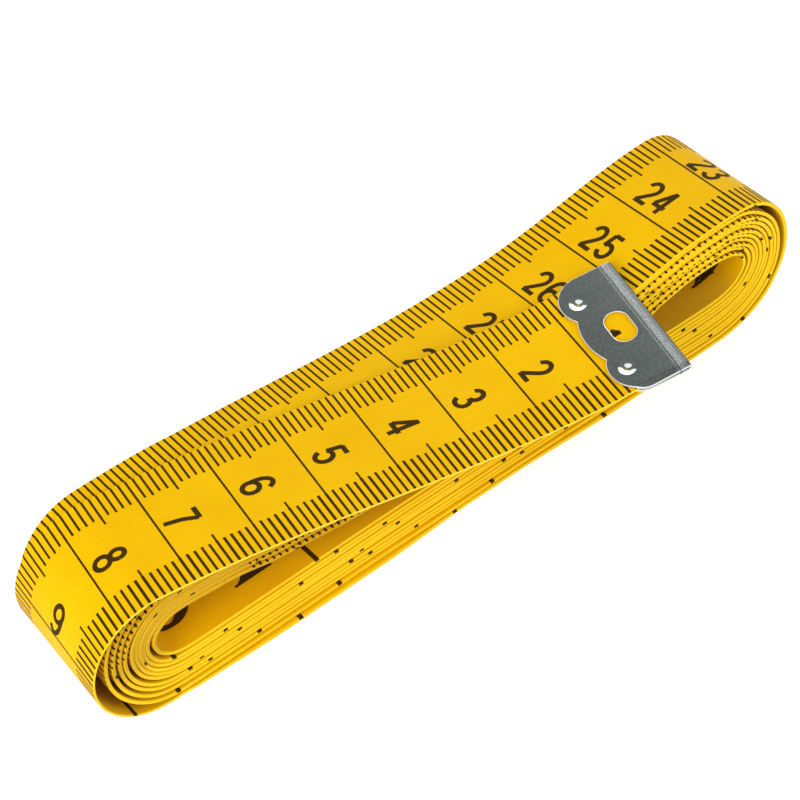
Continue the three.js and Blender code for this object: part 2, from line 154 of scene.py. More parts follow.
# How far each turn is set back from the near edge of the outermost one at the same places.
SET_BACK = np.array([
    [0, 0.25, -0.05, -0.20, -0.26, -0.28, -0.28, -0.28, -0.28, -0.28, -0.28, -0.28],
    [0, -0.03, -0.12, -0.20, -0.28, -0.30, -0.30, -0.30, -0.30, -0.30, -0.30, -0.30],
    [0, 0, -0.04, -0.01, 0.03, 0, 0.05, 0.10, 0.10, 0.15, 0.15, 0.15],
    [0, 0.02, 0.18, 0.30, 0.32, 0.32, 0.30, 0.25, 0.30, 0.33, 0.35, 0.38],
    [0, 0.02, 0.28, 0.46, 0.43, 0.41, 0.30, 0.22, 0.30, 0.33, 0.33, 0.38],
    [0, 0.3, 0.66, 0.69, 0.72, 0.82, 0.77, 0.66, 0.75, 0.79, 0.82, 0.85],
    [0, 0.44, 0.70, 0.76, 0.78, 0.84, 0.80, 0.75, 0.78, 0.80, 0.82, 0.85],
    [0, 0, 0.10, 0.15, 0.20, 0.25, 0.25, 0.25, 0.30, 0.30, 0.30, 0.30],
    [0, 0, 0.05, 0.07, 0.10, 0.12, 0.12, 0.12, 0.15, 0.15, 0.15, 0.15],
    [0, 0, -0.06, -0.04, 0, -0.06, -0.03, -0.02, -0.07, -0.04, -0.07, -0.06],
    [0, 0, -0.21, -0.14, -0.04, -0.21, -0.11, -0.08, -0.24, -0.14, -0.24, -0.21],
    [0, 0, -0.30, -0.20, -0.06, -0.30, -0.16, -0.12, -0.34, -0.20, -0.34, -0.30],
    [0, 0, -0.30, -0.20, -0.06, -0.30, -0.16, -0.12, -0.34, -0.20, -0.34, -0.30],
    [0, 0, -0.18, -0.12, -0.04, -0.18, -0.10, -0.08, -0.20, -0.24, -0.30, -0.30],
    [0, 0, -0.05, -0.05, -0.05, -0.08, -0.10, -0.14, -0.20, -0.28, -0.36, -0.36],
    [0, 0, -0.06, -0.10, -0.14, -0.18, -0.20, -0.22, -0.26, -0.32, -0.38, -0.38],
    [0, 0.2, 0.05, -0.14, -0.20, -0.25, -0.26, -0.28, -0.30, -0.32, -0.34, -0.34],
    [0, 0.25, -0.05, -0.20, -0.26, -0.28, -0.28, -0.28, -0.28, -0.28, -0.28, -0.28],
])
# How far each turn is drawn to the left of the one around it, at the same places.
PULL_LEFT = np.array([0, 0, 0, 0, 0, 0, 0, 0, 0.02, 0.045, 0.12, 0.2, 0.12, 0, 0, 0, 0, 0])
# How far the outermost bottom run wanders across, at places along it.
WANDER_PLACES = (2.0, 2.14, 2.36, 2.5, 2.62, 2.78, 3.0, 3.5)
WANDER = (-0.1, -0.45, -0.28, 0.3, 0.3, -0.25, -0.12, -0.1)
# How far the far edges of the turns lie to the right of the near ones at the left end.
BEND_SKEW = np.array([0.35, 0.5, 0.5, 0.4, 0.2, 0, 0, 0, 0, 0, 0, 0, 0, 0, 0, 0.05, 0.2, 0.35])
# How far the near edges of the turns stand above the far ones, at places along the top.
LIFT_PLACES = (4.8, 5.0, 5.06, 5.1, 5.15, 5.2, 5.26, 5.36, 5.46)
NEAR_LIFT = (0.0, 0.15, 0.45, 0.75, 0.7, 0.55, 0.4, 0.1, 0.0)
# How far the ink of the strokes has run down the near cut edge, turn by turn.
SOAKED = np.array([0, 0, 0.05, 0.02, 0.02, 0.05, 0.02, 0.03, 0.05, 0.02, 0.05, 0.05])
# Where each number was printed: before its line, and aside from the middle of the tape.
NUMBERED = np.array([1, 2, 3, 4, 5, 6, 7, 8, 9, 23, 24, 26])
NUMBER_BEFORE = np.array([3.2, 3.35, 3.6, 3.9, 3.7, 3.5, 3.1, 3.0, 2.4, 2.7, 3.45, 3.23])
NUMBER_ASIDE = np.array([-0.3, 0.1, 0.5, 0.7, 0.55, 0.25, 0.03, -0.5, -0.22, -0.15, 0.2, -0.3])

# The pale floor in metres, and how bright it is to the eye and in a reflection, beside the light on it.
FLOOR_HALF, FLOOR_Z = 1.5, -3e-5
FLOOR_SEEN, FLOOR_MIRRORED = 0.5, 0.05
# The strength of the white world as a light, and what is added to the eye and in a reflection.
WORLD_LIGHT, WORLD_SEEN = 0.46, 0.54
# The soft lights: name, place and side in metres, and power.
LIGHTS = (
    ("key", (-0.46, -0.17, 0.28), 0.4, 2.6),
    ("fill", (0.26, -0.44, 0.3), 0.4, 1.15),
    ("rim", (0.38, 0.28, 0.3), 0.35, 0.85),
)
LIGHTS_AIM = (0, 0, 0.01)
# The camera: its turn, height and roll in degrees, the point that it looks at and its distance in
# millimetres, and its focal length in pixels of the square picture.
CAMERA_ANGLES = (-32.817, 44.588, -8.110)
CAMERA_AIM, CAMERA_DISTANCE = (-1.536, 0.0, 13.627), 372.815
FOCAL_PIXELS, PICTURE_PIXELS, SENSOR_WIDTH = 2908.506, 800, 36.0

# The kinds of sockets in the node groups, and how deep their relief is in metres.
FLOAT, COLOUR = "NodeSocketFloat", "NodeSocketColor"
BUMP_DISTANCE = 0.00002


def smooth(q):
    """Eases from 0 to 1."""
    q = np.clip(q, 0.0, 1.0)
    return q * q * (3 - 2 * q)


def unit(v):
    """Vectors along the last axis brought to length one."""
    return v / np.linalg.norm(v, axis=-1, keepdims=True)


def quarter(cx, cz, a, b, start, q):
    """A quarter of an ellipse whose outward normal turns evenly by 90 degrees from the start angle."""
    turn = start + 0.5 * np.pi * q
    n = np.stack([np.cos(turn), np.sin(turn)], -1)
    t = np.arctan2(b * n[:, 1], a * n[:, 0])
    return np.stack([cx + a * np.cos(t), cz + b * np.sin(t)], -1), n


def left_upper(q):
    """The quarter of the left end from its crest to its nose."""
    return quarter(LEFT_END, FLOOR + LEFT_NOSE, LEFT_INSET, LEFT_HEIGHT - LEFT_NOSE, 0.5 * np.pi, q)


def left_lower(q):
    """The quarter of the left end from its nose to the floor."""
    return quarter(LEFT_END, FLOOR + LEFT_NOSE, LEFT_INSET, LEFT_NOSE, np.pi, q)


def right_lower(q):
    """The quarter of the right end from the floor to its nose."""
    return quarter(RIGHT_FLOOR_END, FLOOR + RIGHT_NOSE, RIGHT_FLOOR_INSET, RIGHT_NOSE, 1.5 * np.pi, q)


def right_upper(q):
    """The quarter of the right end from its nose to its crest."""
    height = RIGHT_HEIGHT - RIGHT_NOSE
    return quarter(RIGHT_ROOF_END, FLOOR + RIGHT_NOSE, RIGHT_ROOF_INSET, height, 0.0, q)


def roof_z(x):
    """Height of the bore's roof: from the right crest down to the waist and up to the left crest."""
    right = smooth(np.clip((x - WAIST_X) / (RIGHT_ROOF_END - WAIST_X), 0, 1) ** RIGHT_DIP_POWER)
    left = smooth((WAIST_X - x) / (WAIST_X - LEFT_CREST_X))
    right_rise, left_rise = RIGHT_HEIGHT - WAIST_HEIGHT, LEFT_HEIGHT - WAIST_HEIGHT
    return FLOOR + WAIST_HEIGHT + np.where(x > WAIST_X, right_rise * right, left_rise * left)


def roof(x):
    """Points of the bore's roof and their upward normals, square to the slope from one close place to
    another."""
    reach = 0.01
    slope = (roof_z(x + reach) - roof_z(x - reach)) / (2 * reach)
    return np.stack([x, roof_z(x)], -1), unit(np.stack([-slope, np.ones_like(x)], -1))


def sunk(x):
    """Share of a turn by which a top run has sunk, from 0 at the right to 1 at the left."""
    return smooth((RIGHT_ROOF_END - x) / (RIGHT_ROOF_END - LEFT_END))


def between_places(place):
    """The place before each one in the table, and the eased share of the way to the next."""
    i = np.clip(np.searchsorted(PLACES, place, side="right") - 1, 0, len(PLACES) - 2)
    return i, smooth((place - PLACES[i]) / (PLACES[i + 1] - PLACES[i]))


def round_roll(values, place):
    """A size that eases from one place round the roll to the next."""
    i, q = between_places(place)
    return values[i] + (values[i + 1] - values[i]) * q


def by_turn(table, place, depth):
    """A size from a table of places and turns, eased between places and straight between turns."""
    i, q = between_places(place)
    j = np.clip(depth.astype(int), 0, table.shape[1] - 2)
    f = depth - j
    row = table[i, j] * (1 - f) + table[i, j + 1] * f
    after = table[i + 1, j] * (1 - f) + table[i + 1, j + 1] * f
    return row + (after - row) * q


def eased(line, share):
    """A line of even steps with its corners eased: each point moves by a share of the way to the
    bell-weighted mean of the nine points on each side of it."""
    reach, spread = 9, 3.0
    weight = np.exp(-0.5 * (np.arange(-reach, reach + 1) / spread)**2)
    longer = np.pad(line, ((reach, reach), (0, 0)), mode="reflect", reflect_type="odd")
    mean = np.stack([np.convolve(column, weight / weight.sum(), "valid") for column in longer.T], -1)
    return line + (mean - line) * share[:, None]


def run_length(line):
    """Distance of each point from the start of a line."""
    return np.r_[0, np.cumsum(np.linalg.norm(np.diff(line, axis=0), axis=1))]


def free_profile():
    """Section of the first turn's left bend and of the free end, from the floor to the right: the left
    end of the bore and its roof moved outwards, the bend with a bulge that fades towards the top."""
    bend_steps, top_steps = 61, 201
    bulge_run, bulge_fade = 0.5, 0.75
    q = np.linspace(1, 0, bend_steps)
    lower, lower_n = left_lower(q)
    upper, upper_n = left_upper(q[1:])
    bend_n = np.vstack([lower_n, upper_n])
    even = np.vstack([lower, upper]) + bend_n * STACK
    turn = np.linspace(0, 2, len(bend_n))
    bulge = BEND_BULGE * smooth(turn / bulge_run) * (1 - smooth((turn - bulge_fade) / bulge_fade))
    bend = even + bend_n * bulge[:, None]
    bend[:, 0] -= BEND_SHIFT
    x = np.linspace(LEFT_END, RIGHT_ROOF_END, top_steps)[1:]
    top, top_n = roof(x)
    off = STACK + PITCH * (1 - sunk(x)) + FREE_LIFT * smooth((x - LEFT_END) / FREE_LIFT_RUN)
    p = np.vstack([bend, top + top_n * off[:, None]])
    n = np.vstack([bend_n, top_n])
    along = run_length(p)
    return p, n, along - run_length(bend)[-1] + run_length(even)[-1]


PROFILE_P, PROFILE_N, PROFILE_ALONG = free_profile()


def free_point(s, w):
    """A point of the first turn, s from the fold of the tip and w across, with its outward normal.
    There the tape lies on a cylinder whose straight lines are turned by half the free end's angle."""
    s, w = np.broadcast_arrays(np.asarray(s, float), np.asarray(w, float))
    c, k = math.cos(BEND_TURN), math.sin(BEND_TURN)
    u = s - FREE_LENGTH
    across, along = u * k + w * c, w * k - u * c
    on = along > PROFILE_ALONG[0]
    flat = BEND_START + PROFILE_ALONG[0] - along
    x = np.where(on, np.interp(along, PROFILE_ALONG, PROFILE_P[:, 0]), flat)
    z = np.where(on, np.interp(along, PROFILE_ALONG, PROFILE_P[:, 1]), OUTER_FACE)
    nx = np.where(on, np.interp(along, PROFILE_ALONG, PROFILE_N[:, 0]), 0.0)
    nz = np.where(on, np.interp(along, PROFILE_ALONG, PROFILE_N[:, 1]), -1.0)
    e = x - BEND_START
    p = np.stack([BEND_START + e * c + across * k, across * c - e * k, z], -1)
    return p, unit(np.stack([nx * c, -nx * k, nz], -1))


def free_frame(s):
    """Place, direction towards the roll, direction across and normal of the free end at s."""
    s = np.asarray(s, float)
    held = np.maximum(s, TIP_STRAIGHT)
    p = free_point(held, 0)[0]
    before = np.where(s > TIP_STRAIGHT, held - 0.5, 0.0)
    along = unit(free_point(held + 0.5, 0)[0] - free_point(before, 0)[0])
    level = unit(np.cross(along, np.array([0.0, 0.0, 1.0])))
    turn = -TWIST * np.clip((HINGE_S - held) / HINGE_S, 0, 1)[..., None]
    across = level * np.cos(turn) + np.cross(along, level) * np.sin(turn)
    return p + along * (s - held)[..., None], along, across, np.cross(across, along)


def free_path():
    """Sections of the free end: distance s, near and far edge and their normals. They lie closer where
    the tape bends, and pass there from the straight free end to the turned bend."""
    open_step, close_from, close_steps = 0.9, 56, 66
    pass_half = 4
    apart = np.arange(FREE_START_S, close_from, open_step)
    s = np.r_[apart, np.linspace(close_from, SPLIT_S, close_steps)]
    p, _, across, n = free_frame(s)
    near, near_n = free_point(s, -HALF_WIDTH)
    far, far_n = free_point(s, FAR_EDGE)
    q = smooth((s - HINGE_S + pass_half) / (2 * pass_half))[:, None]
    return {
        "s": s,
        "depth": np.zeros(len(s)),
        "near": (p - across * HALF_WIDTH) * (1 - q) + near * q,
        "far": (p + across * FAR_EDGE) * (1 - q) + far * q,
        "near_n": unit(n * (1 - q) + near_n * q),
        "far_n": unit(n * (1 - q) + far_n * q),
    }


def turn_rows(k):
    """One turn of the winding: points and normals of the bore, place round the roll and depth."""
    rows = []
    last = k == TURNS - 1
    end_steps, floor_steps, roof_steps = 29, 60, 20 if last else 90
    first_gap = 1.5
    q = np.linspace(0, 1, end_steps)[:-1]

    def add(made, place, depth):
        rows.append(np.c_[made[0], made[1], place, np.broadcast_to(depth, place.shape)])

    if k > 0:
        add(left_upper(q), q, k)
        add(left_lower(q), 1 + q, k)
    start = LEFT_END if k > 0 else BEND_START + first_gap
    x = np.linspace(start, RIGHT_FLOOR_END, floor_steps)[:-1]
    flat = np.stack([x, np.full_like(x, FLOOR)], -1)
    down = np.tile([0.0, -1.0], (len(x), 1))
    add((flat, down), 2 + np.clip((x - LEFT_END) / (RIGHT_FLOOR_END - LEFT_END), 0, 1), k)
    add(right_lower(q), 3 + q, k)
    add(right_upper(q), 4 + q, k)
    x = np.linspace(RIGHT_ROOF_END, INNER_LEAVE_X if last else LEFT_END, roof_steps)
    x = x if last else x[:-1]
    add(roof(x), 5 + (RIGHT_ROOF_END - x) / (RIGHT_ROOF_END - LEFT_END), k + sunk(x))
    return np.vstack(rows)


def inner_end(mid):
    """The inner end: a cubic curve away from the roof, and a straight run to inside the tip. Returns its
    points, the place of the tip's fold and the direction from there along the tape."""
    clear = 0.4
    q = np.linspace(0, 1, 7)[1:, None]
    p, n = roof(np.array([INNER_STOP_X]))
    p, n = p[0], n[0]
    start = p - n * (PITCH * float(sunk(INNER_STOP_X)) + INNER_DROP)
    fold = start - np.array([n[1], -n[0]]) * TIP_STRAIGHT + np.array([0.0, INNER_RISE])
    along = unit(mid[-1] - INNER_SLACK - fold)
    leave = unit(mid[-2] - mid[-1])
    free = fold + along * (TIP_LENGTH + clear)
    reach = np.linalg.norm(mid[-1] - free)
    a, b = mid[-1] - leave * reach / 3, free + along * reach / 3
    curve = mid[-1] * (1 - q)**3 + 3 * a * q * (1 - q)**2 + 3 * b * q * q * (1 - q) + free * q**3
    run = free + (fold + along * FREE_START_S - free) * q
    return np.vstack([curve, run]), fold, along


def roll_path():
    """Sections of the wound tape, from the left bend round and inwards to the inner end.
    Each turn lies inside the one before it, and its edges stand out or set back a little."""
    bend_steps, overlap, step = 72, 1.0, 0.5
    ripple, ripple_turn, outermost = 0.05, 2.4, 0.6
    s0 = np.linspace(SPLIT_S, FREE_LENGTH + overlap, bend_steps)
    near0, near_n0 = free_point(s0, -HALF_WIDTH)
    far0, far_n0 = free_point(s0, FAR_EDGE)
    rows = np.vstack([turn_rows(k) for k in range(TURNS)])
    p, n, place, depth = rows[:, 0:2], rows[:, 2:4], rows[:, 4], rows[:, 5]
    mid = p + n * (STACK - by_turn(LAID_IN, place, depth))[:, None]
    mid[:, 0] -= round_roll(PULL_LEFT, place) * depth
    y = by_turn(SET_BACK, place, depth)
    y = y + ripple * np.sin(ripple_turn * depth + np.pi / 3 * place) * smooth(depth - outermost)
    y = y + np.interp(place, WANDER_PLACES, WANDER, 0, 0) * (1 - smooth(depth / outermost))
    skew = round_roll(BEND_SKEW, place) * smooth((depth - 0.5) / 0.4)
    lift = np.interp(place, LIFT_PLACES, NEAR_LIFT)
    along = run_length(mid)
    even = np.linspace(0, along[-1], int(along[-1] / step))
    mid = np.stack([np.interp(even, along, column) for column in mid.T], -1)
    y, depth, skew, lift = (np.interp(even, along, values) for values in (y, depth, skew, lift))
    mid = eased(mid, smooth(depth - 0.3))
    end, fold, along = inner_end(mid)
    fade = np.linspace(1, 0, len(end) + 1)[1:]
    mid = np.vstack([mid, end])
    y, skew, lift = np.r_[y, y[-1] * fade], np.r_[skew, 0 * fade], np.r_[lift, lift[-1] * fade]
    depth = np.r_[depth, np.full(len(end), depth[-1])]
    slope = unit(np.gradient(mid, axis=0))
    zero = np.zeros(len(y))
    normal = np.stack([slope[:, 1], zero, -slope[:, 0]], -1)
    shape = np.stack([mid[:, 0], y, mid[:, 1]], -1)
    near = np.vstack([near0, shape + np.stack([zero, zero - HALF_WIDTH, lift], -1)])
    far = np.vstack([far0, shape + np.stack([skew, zero + FAR_EDGE, zero], -1)])
    centre = (near + far) / 2
    centre[:, 1] = 0
    run = np.linalg.norm(np.diff(centre[len(s0) - 1:], axis=0), axis=1)
    s = np.r_[s0, s0[-1] + np.cumsum(run)]
    return {
        "s": s - PRINT_DRIFT * smooth((s - DRIFT_FROM_S) / DRIFT_RUN),
        "depth": np.r_[np.zeros(len(s0)), depth],
        "near": near,
        "far": far,
        "near_n": np.vstack([near_n0, normal]),
        "far_n": np.vstack([far_n0, normal]),
        "fold": np.array([fold[0], 0.0, fold[1]]),
        "along": np.array([along[0], 0.0, along[1]]),
    }


def on_tape(path, s, w, h):
    """Points at distance s, w across and h out from the middle of the tape."""
    def at(key):
        return np.stack([np.interp(s, path["s"], path[key][:, i]) for i in range(3)], -1)

    q = ((np.asarray(w, float) + HALF_WIDTH) / (2 * HALF_WIDTH))[..., None]
    p = at("near") * (1 - q) + at("far") * q
    n = unit(at("near_n") * (1 - q) + at("far_n") * q)
    return p + n * np.asarray(h, float)[..., None]


def mesh_object(name, points, faces, uv, materials, face_material=None):
    """A smooth mesh object from points in millimetres, blocks of faces and one UV for each point."""
    mesh = bpy.data.meshes.new(name)
    mesh.from_pydata((points * MM).tolist(), [], [face for block in faces for face in block.tolist()])
    mesh.polygons.foreach_set("use_smooth", np.ones(len(mesh.polygons), bool))
    for m in materials:
        mesh.materials.append(m)
    if face_material is not None:
        mesh.polygons.foreach_set("material_index", np.asarray(face_material, np.int32))
    index = np.empty(len(mesh.loops), np.int32)
    mesh.loops.foreach_get("vertex_index", index)
    mesh.uv_layers.new(name="tape").data.foreach_set("uv", np.asarray(uv, np.float32)[index].ravel())
    mesh.update()
    obj = bpy.data.objects.new(name, mesh)
    bpy.context.scene.collection.objects.link(obj)
    return obj


def outward(points, quads):
    """The faces turned so that the closed mesh has a positive volume."""
    p = points[quads]
    volume = np.einsum("ij,ij->i", p[:, 0], np.cross(p[:, 1], p[:, 2])).sum()
    volume += np.einsum("ij,ij->i", p[:, 0], np.cross(p[:, 2], p[:, 3])).sum()
    return quads if volume > 0 else quads[:, ::-1]


def thickness_at(s):
    """Thickness of the tape at s: thin in the free end, and as thick as a wound layer in the roll."""
    full, thin = settings().thickness / MM, settings().free_thickness / MM
    return thin + (full - thin) * smooth((np.asarray(s) - THICKEN_FROM_S) / THICKEN_RUN)


def face_height(s, lift, inner):
    """Height of the ink on the outer or the inner face at s."""
    s = np.asarray(s, float)
    return OUTER_FACE - thickness_at(s) - lift if inner else np.full(s.shape, OUTER_FACE + lift)


def soiled_at(points, depth, near, inner):
    """How much painted shade each point gets: the near edges of the inner turns, high up and towards the
    left, where the free end overhangs them, and the floor of the bore, more and more towards the right,
    under its roof."""
    x, _, z = points.T
    edges = smooth(depth - 0.4) * near * smooth((z - 6) / 5) * smooth((2 - x) / 14)
    floor = smooth((depth - 9.2) / 0.5) * inner * smooth((x + 45) / 70) * smooth((10 - z) / 3)
    return edges + 0.85 * floor


def tape_strip(name, path, materials):
    """A strip along the path: a flat section with narrow chamfers, swept from one end to the other.
    The first material is on both faces, and the second on the cut edges and ends."""
    edge, flat = HALF_WIDTH, HALF_WIDTH - CHAMFER
    w = np.array([-flat, flat, edge, edge, flat, -flat, -edge, -edge])
    inner = np.array([0, 0, 0, 1, 1, 1, 1, 0])
    cut = np.array([0, 0, -1, 1, 0, 0, 1, -1])
    h = OUTER_FACE - thickness_at(path["s"])[:, None] * inner + CHAMFER * cut
    count, ring = len(path["s"]), len(w)
    s, across = np.repeat(path["s"], ring), np.tile(w, count)
    points = on_tape(path, s, across, h.ravel())
    i, j = np.meshgrid(np.arange(count - 1), np.arange(ring), indexing="ij")
    a, b = (ring * i + j).ravel(), (ring * i + (j + 1) % ring).ravel()
    sides = np.stack([a, b, b + ring, a + ring], -1)
    last = ring * (count - 1)
    caps = np.array([[0, 7, 6, 1], [1, 6, 5, 2], [2, 5, 4, 3]])
    quads = np.vstack([sides, caps, caps[:, ::-1] + last])
    face_material = np.r_[np.where(np.isin(j.ravel(), (0, 4)), 0, 1), np.ones(2 * len(caps))]
    uv = np.stack([s / 100, across / (2 * HALF_WIDTH) + 0.5], -1)
    obj = mesh_object(name, points, [outward(points, quads)], uv, materials, face_material)
    mesh = obj.data
    inner_face = np.tile((inner == 1) & (cut == 0), count)
    # Painted shade on the inner turns' near edges and on the bore's floor, kept as a point attribute.
    painted_shade = soiled_at(points, np.repeat(path["depth"], ring), across <= -edge, inner_face)
    mesh.attributes.new("painted_shade", "FLOAT", "POINT").data.foreach_set("value", painted_shade)
    ends = np.empty(2 * len(mesh.edges), np.int32)
    mesh.edges.foreach_get("vertices", ends)
    ends = ends.reshape(-1, 2)
    along = ends[:, 0] % ring == ends[:, 1] % ring
    cap = (ends.max(1) < ring) | (ends.min(1) >= last)
    sharp = mesh.attributes.new("sharp_edge", "BOOLEAN", "EDGE")
    sharp.data.foreach_set("value", along | cap)
    return obj


def bow(cx, cy, rx, ry, start, stop, count=17):
    """Points on an elliptic arc, the angles in degrees."""
    a = np.radians(np.linspace(start, stop, count))
    return np.stack([cx + rx * np.cos(a), cy + ry * np.sin(a)], -1)


def bar(*points):
    """Points along straight lines, about a twentieth of the height apart."""
    made = [np.array(points[:1], float)]
    for a, b in zip(points[:-1], points[1:]):
        count = max(2, int(math.dist(a, b) / 0.05))
        made.append(a + (np.array(b) - a) * np.linspace(0, 1, count + 1)[1:, None])
    return np.vstack(made)


def digit_strokes():
    """Middle lines of the strokes of the ten digits, in a box one unit tall and about 0.6 wide."""
    six = [bow(0.30, 0.30, 0.235, 0.24, 0, 360, 33), bow(0.335, 0.49, 0.27, 0.45, 38, 200, 25)]
    nine = [np.array([0.6, 1.0]) - line for line in six]
    return [
        [bow(0.30, 0.50, 0.235, 0.44, 0, 360, 41)],
        [bar((0.37, 0.0), (0.37, 1.0)), bar((0.36, 0.93), (0.15, 0.78))],
        [np.vstack([bow(0.30, 0.70, 0.225, 0.24, 172, -38, 21), bar((0.44, 0.49), (0.09, 0.07))]),
         bar((0.05, 0.06), (0.55, 0.06))],
        [bow(0.29, 0.72, 0.2, 0.22, 165, -90, 21), bow(0.29, 0.28, 0.235, 0.22, 90, -165, 23)],
        [bar((0.41, 0.97), (0.07, 0.32)), bar((0.02, 0.28), (0.58, 0.28)),
         bar((0.42, 0.0), (0.42, 1.0))],
        [bar((0.13, 0.94), (0.52, 0.94)), bar((0.16, 0.94), (0.1, 0.48)),
         bow(0.29, 0.32, 0.235, 0.26, 142, -165, 27)],
        six,
        [bar((0.04, 0.94), (0.56, 0.94)), bar((0.53, 0.92), (0.33, 0.5), (0.21, 0.0))],
        [bow(0.30, 0.735, 0.19, 0.205, 0, 360, 29), bow(0.30, 0.28, 0.235, 0.225, 0, 360, 33)],
        nine,
    ]


def ribbon(line, half):
    """A flat ribbon along a line: its points on both sides and its triangles."""
    step = unit(np.gradient(line, axis=0))
    side = np.stack([-step[:, 1], step[:, 0]], -1) * np.reshape(half, (-1, 1))
    points = np.stack([line + side, line - side], 1).reshape(-1, 2)
    i = 2 * np.arange(len(line) - 1)[:, None]
    return points, np.vstack([i + [0, 1, 3], i + [0, 3, 2]])


def plain_digits():
    """The ten plain digits as points, triangles and width, one unit tall and centred."""
    narrow, half = np.array([0.86, 1.0]), 0.074
    return [joined([ribbon(line * narrow, half) for line in lines]) for lines in digit_strokes()]


def joined(parts):
    """Several flat shapes as one, centred on its box."""
    base, points, tris = 0, [], []
    for p, t in parts:
        points.append(p)
        tris.append(t + base)
        base += len(p)
    points = np.vstack(points)
    low, high = points.min(0), points.max(0)
    return points - (low + high) / 2, np.vstack(tris), high[0] - low[0]


def serif_digits():
    """Tall bold digits: upright strokes thick and level ones thin, with slab feet and round ends."""
    broad, thin, thick = np.array([1.25, 1.0]), 0.035, 0.07
    feet = {1: 0.46, 4: 0.525, 7: 0.26}
    balls = {2: (0.13, 0.72), 3: (0.12, 0.25), 5: (0.12, 0.25), 9: (0.17, 0.2)}
    made = []
    for digit, lines in enumerate(digit_strokes()):
        parts = []
        for line in lines:
            step = unit(np.gradient(line * broad, axis=0))
            parts.append(ribbon(line * broad, thin + thick * np.abs(step[:, 1])**1.5))
        if digit in feet:
            x = feet[digit]
            parts.append(ribbon(bar((x - 0.27, 0.02), (x + 0.27, 0.02)), 0.02))
            foot = bar((x, 0.03), (x, 0.23))
            parts.append(ribbon(foot, 0.1 + 0.14 * np.linspace(1, 0, len(foot))**3))
        if digit in balls:
            parts.append(ribbon(bow(*balls[digit], 0.055, 0.05, 0, 360, 13), 0.055))
        made.append(joined(parts))
    return made


def patches(s0, s1, w0, w1, h0, h1):
    """Corners (s, w, h) of flat marks, four for each, from (w0, h0) to (w1, h1) across the tape."""
    s0, s1, w0, w1, h0, h1 = np.broadcast_arrays(s0, s1, w0, w1, h0, h1)
    s, w, h = (s0, s1, s1, s0), (w0, w0, w1, w1), (h0, h0, h1, h1)
    return np.stack([np.stack(v, -1).ravel() for v in (s, w, h)], -1)


def centimetre_marks(path, lift):
    """Marks of the centimetre scale: strokes along both edges and a line each ten. On the inner turns
    the near strokes run over the edge where it is in the open."""
    margin, uneven = 0.3, 0.1
    near_long, near_short, far_long = 5.0, 4.35, 4.03
    near_five, far_five = 1.2, 1.0
    i = np.arange(math.ceil(path["s"][0] + margin), math.floor(path["s"][-1] - margin) + 1)
    line, five = i % 10 == 0, i % 10 == 5
    half, far_half, thin = 0.175 + 0.015 * np.sin(7.3 * i), 0.15, 0.135
    depth = np.interp(i, path["s"], path["depth"])
    x = np.interp(i, path["s"], path["near"][:, 0])
    up = np.interp(i, path["s"], path["near_n"][:, 2])
    inner, middle = depth > 1.4, (x <= 0) & (x > -33)
    over = inner & np.where(x > 0, up > 0.75, (depth < 4.6) & (up > 0.1))
    over = np.where(middle, (depth > 8.2) & (up > 0.2), over)
    near0 = np.where(over | ~inner, -INK_CORNER, margin - HALF_WIDTH)
    shorter = (near_long - near_short) * smooth((i - 30) / 50)
    near1 = near_long - shorter + uneven * np.sin(3.1 * i) - HALF_WIDTH
    far1 = HALF_WIDTH - 0.1
    far0 = far1 - far_long - uneven * np.sin(2.7 * i)
    h = face_height(i, lift, False)
    s0, s1, edge = (i - half)[over], (i + half)[over], h[over]
    soaked = np.interp(depth, np.arange(len(SOAKED)), SOAKED)[over]
    return np.vstack([
        patches(i - half, i + half, near0, near1, h, h),
        patches(i - far_half, i + far_half, far0, far1, h, h),
        patches(i[five] - thin, i[five] + thin, near1[five], near1[five] + near_five, h[five], h[five]),
        patches(i[five] - thin, i[five] + thin, far0[five] - far_five, far0[five], h[five], h[five]),
        patches(i[line] - thin, i[line] + thin, near1[line], far0[line], h[line], h[line]),
        patches(s0, s1, -INK_EDGE, -INK_CORNER, edge - INK_OVER, edge),
        patches(s0, s1, -INK_EDGE, -INK_EDGE, edge - INK_OVER - soaked, edge - INK_OVER),
    ])


def inch_at(number, shift):
    """Where an inch ends: the scale runs a little short, by the shift over the whole tape."""
    return INCH * number * (1 + shift / TAPE_LENGTH)


def inch_marks(path, shift, lift):
    """Marks of the inch scale: one bar at each edge for every inch, run over the near edge."""
    half, long, margin, soaked = 0.33, 4.2, 1.0, 0.6
    n = np.arange(1, 99)
    s = inch_at(n[n != WORN_BAR], shift)
    s = s[(s > path["s"][0] + margin) & (s < path["s"][-1] - margin)]
    s0, s1 = s - half, s + half
    h = face_height(s, lift, True)
    return np.vstack([
        patches(s0, s1, -INK_CORNER, long - HALF_WIDTH, h, h),
        patches(s0, s1, HALF_WIDTH - long, INK_CORNER, h, h),
        patches(s0, s1, -INK_EDGE, -INK_CORNER, h + INK_OVER, h),
        patches(s0, s1, -INK_EDGE, -INK_EDGE, h + soaked * thickness_at(s), h + INK_OVER),
    ])


def facing(points, inside, faces):
    """The faces turned away from the points inside."""
    a, b, c = (points[faces[:, k]] for k in range(3))
    out = (a + b + c) / 3 - inside[faces].mean(1)
    wrong = (np.cross(b - a, c - a) * out).sum(1) < 0
    return np.where(wrong[:, None], faces[:, ::-1], faces)


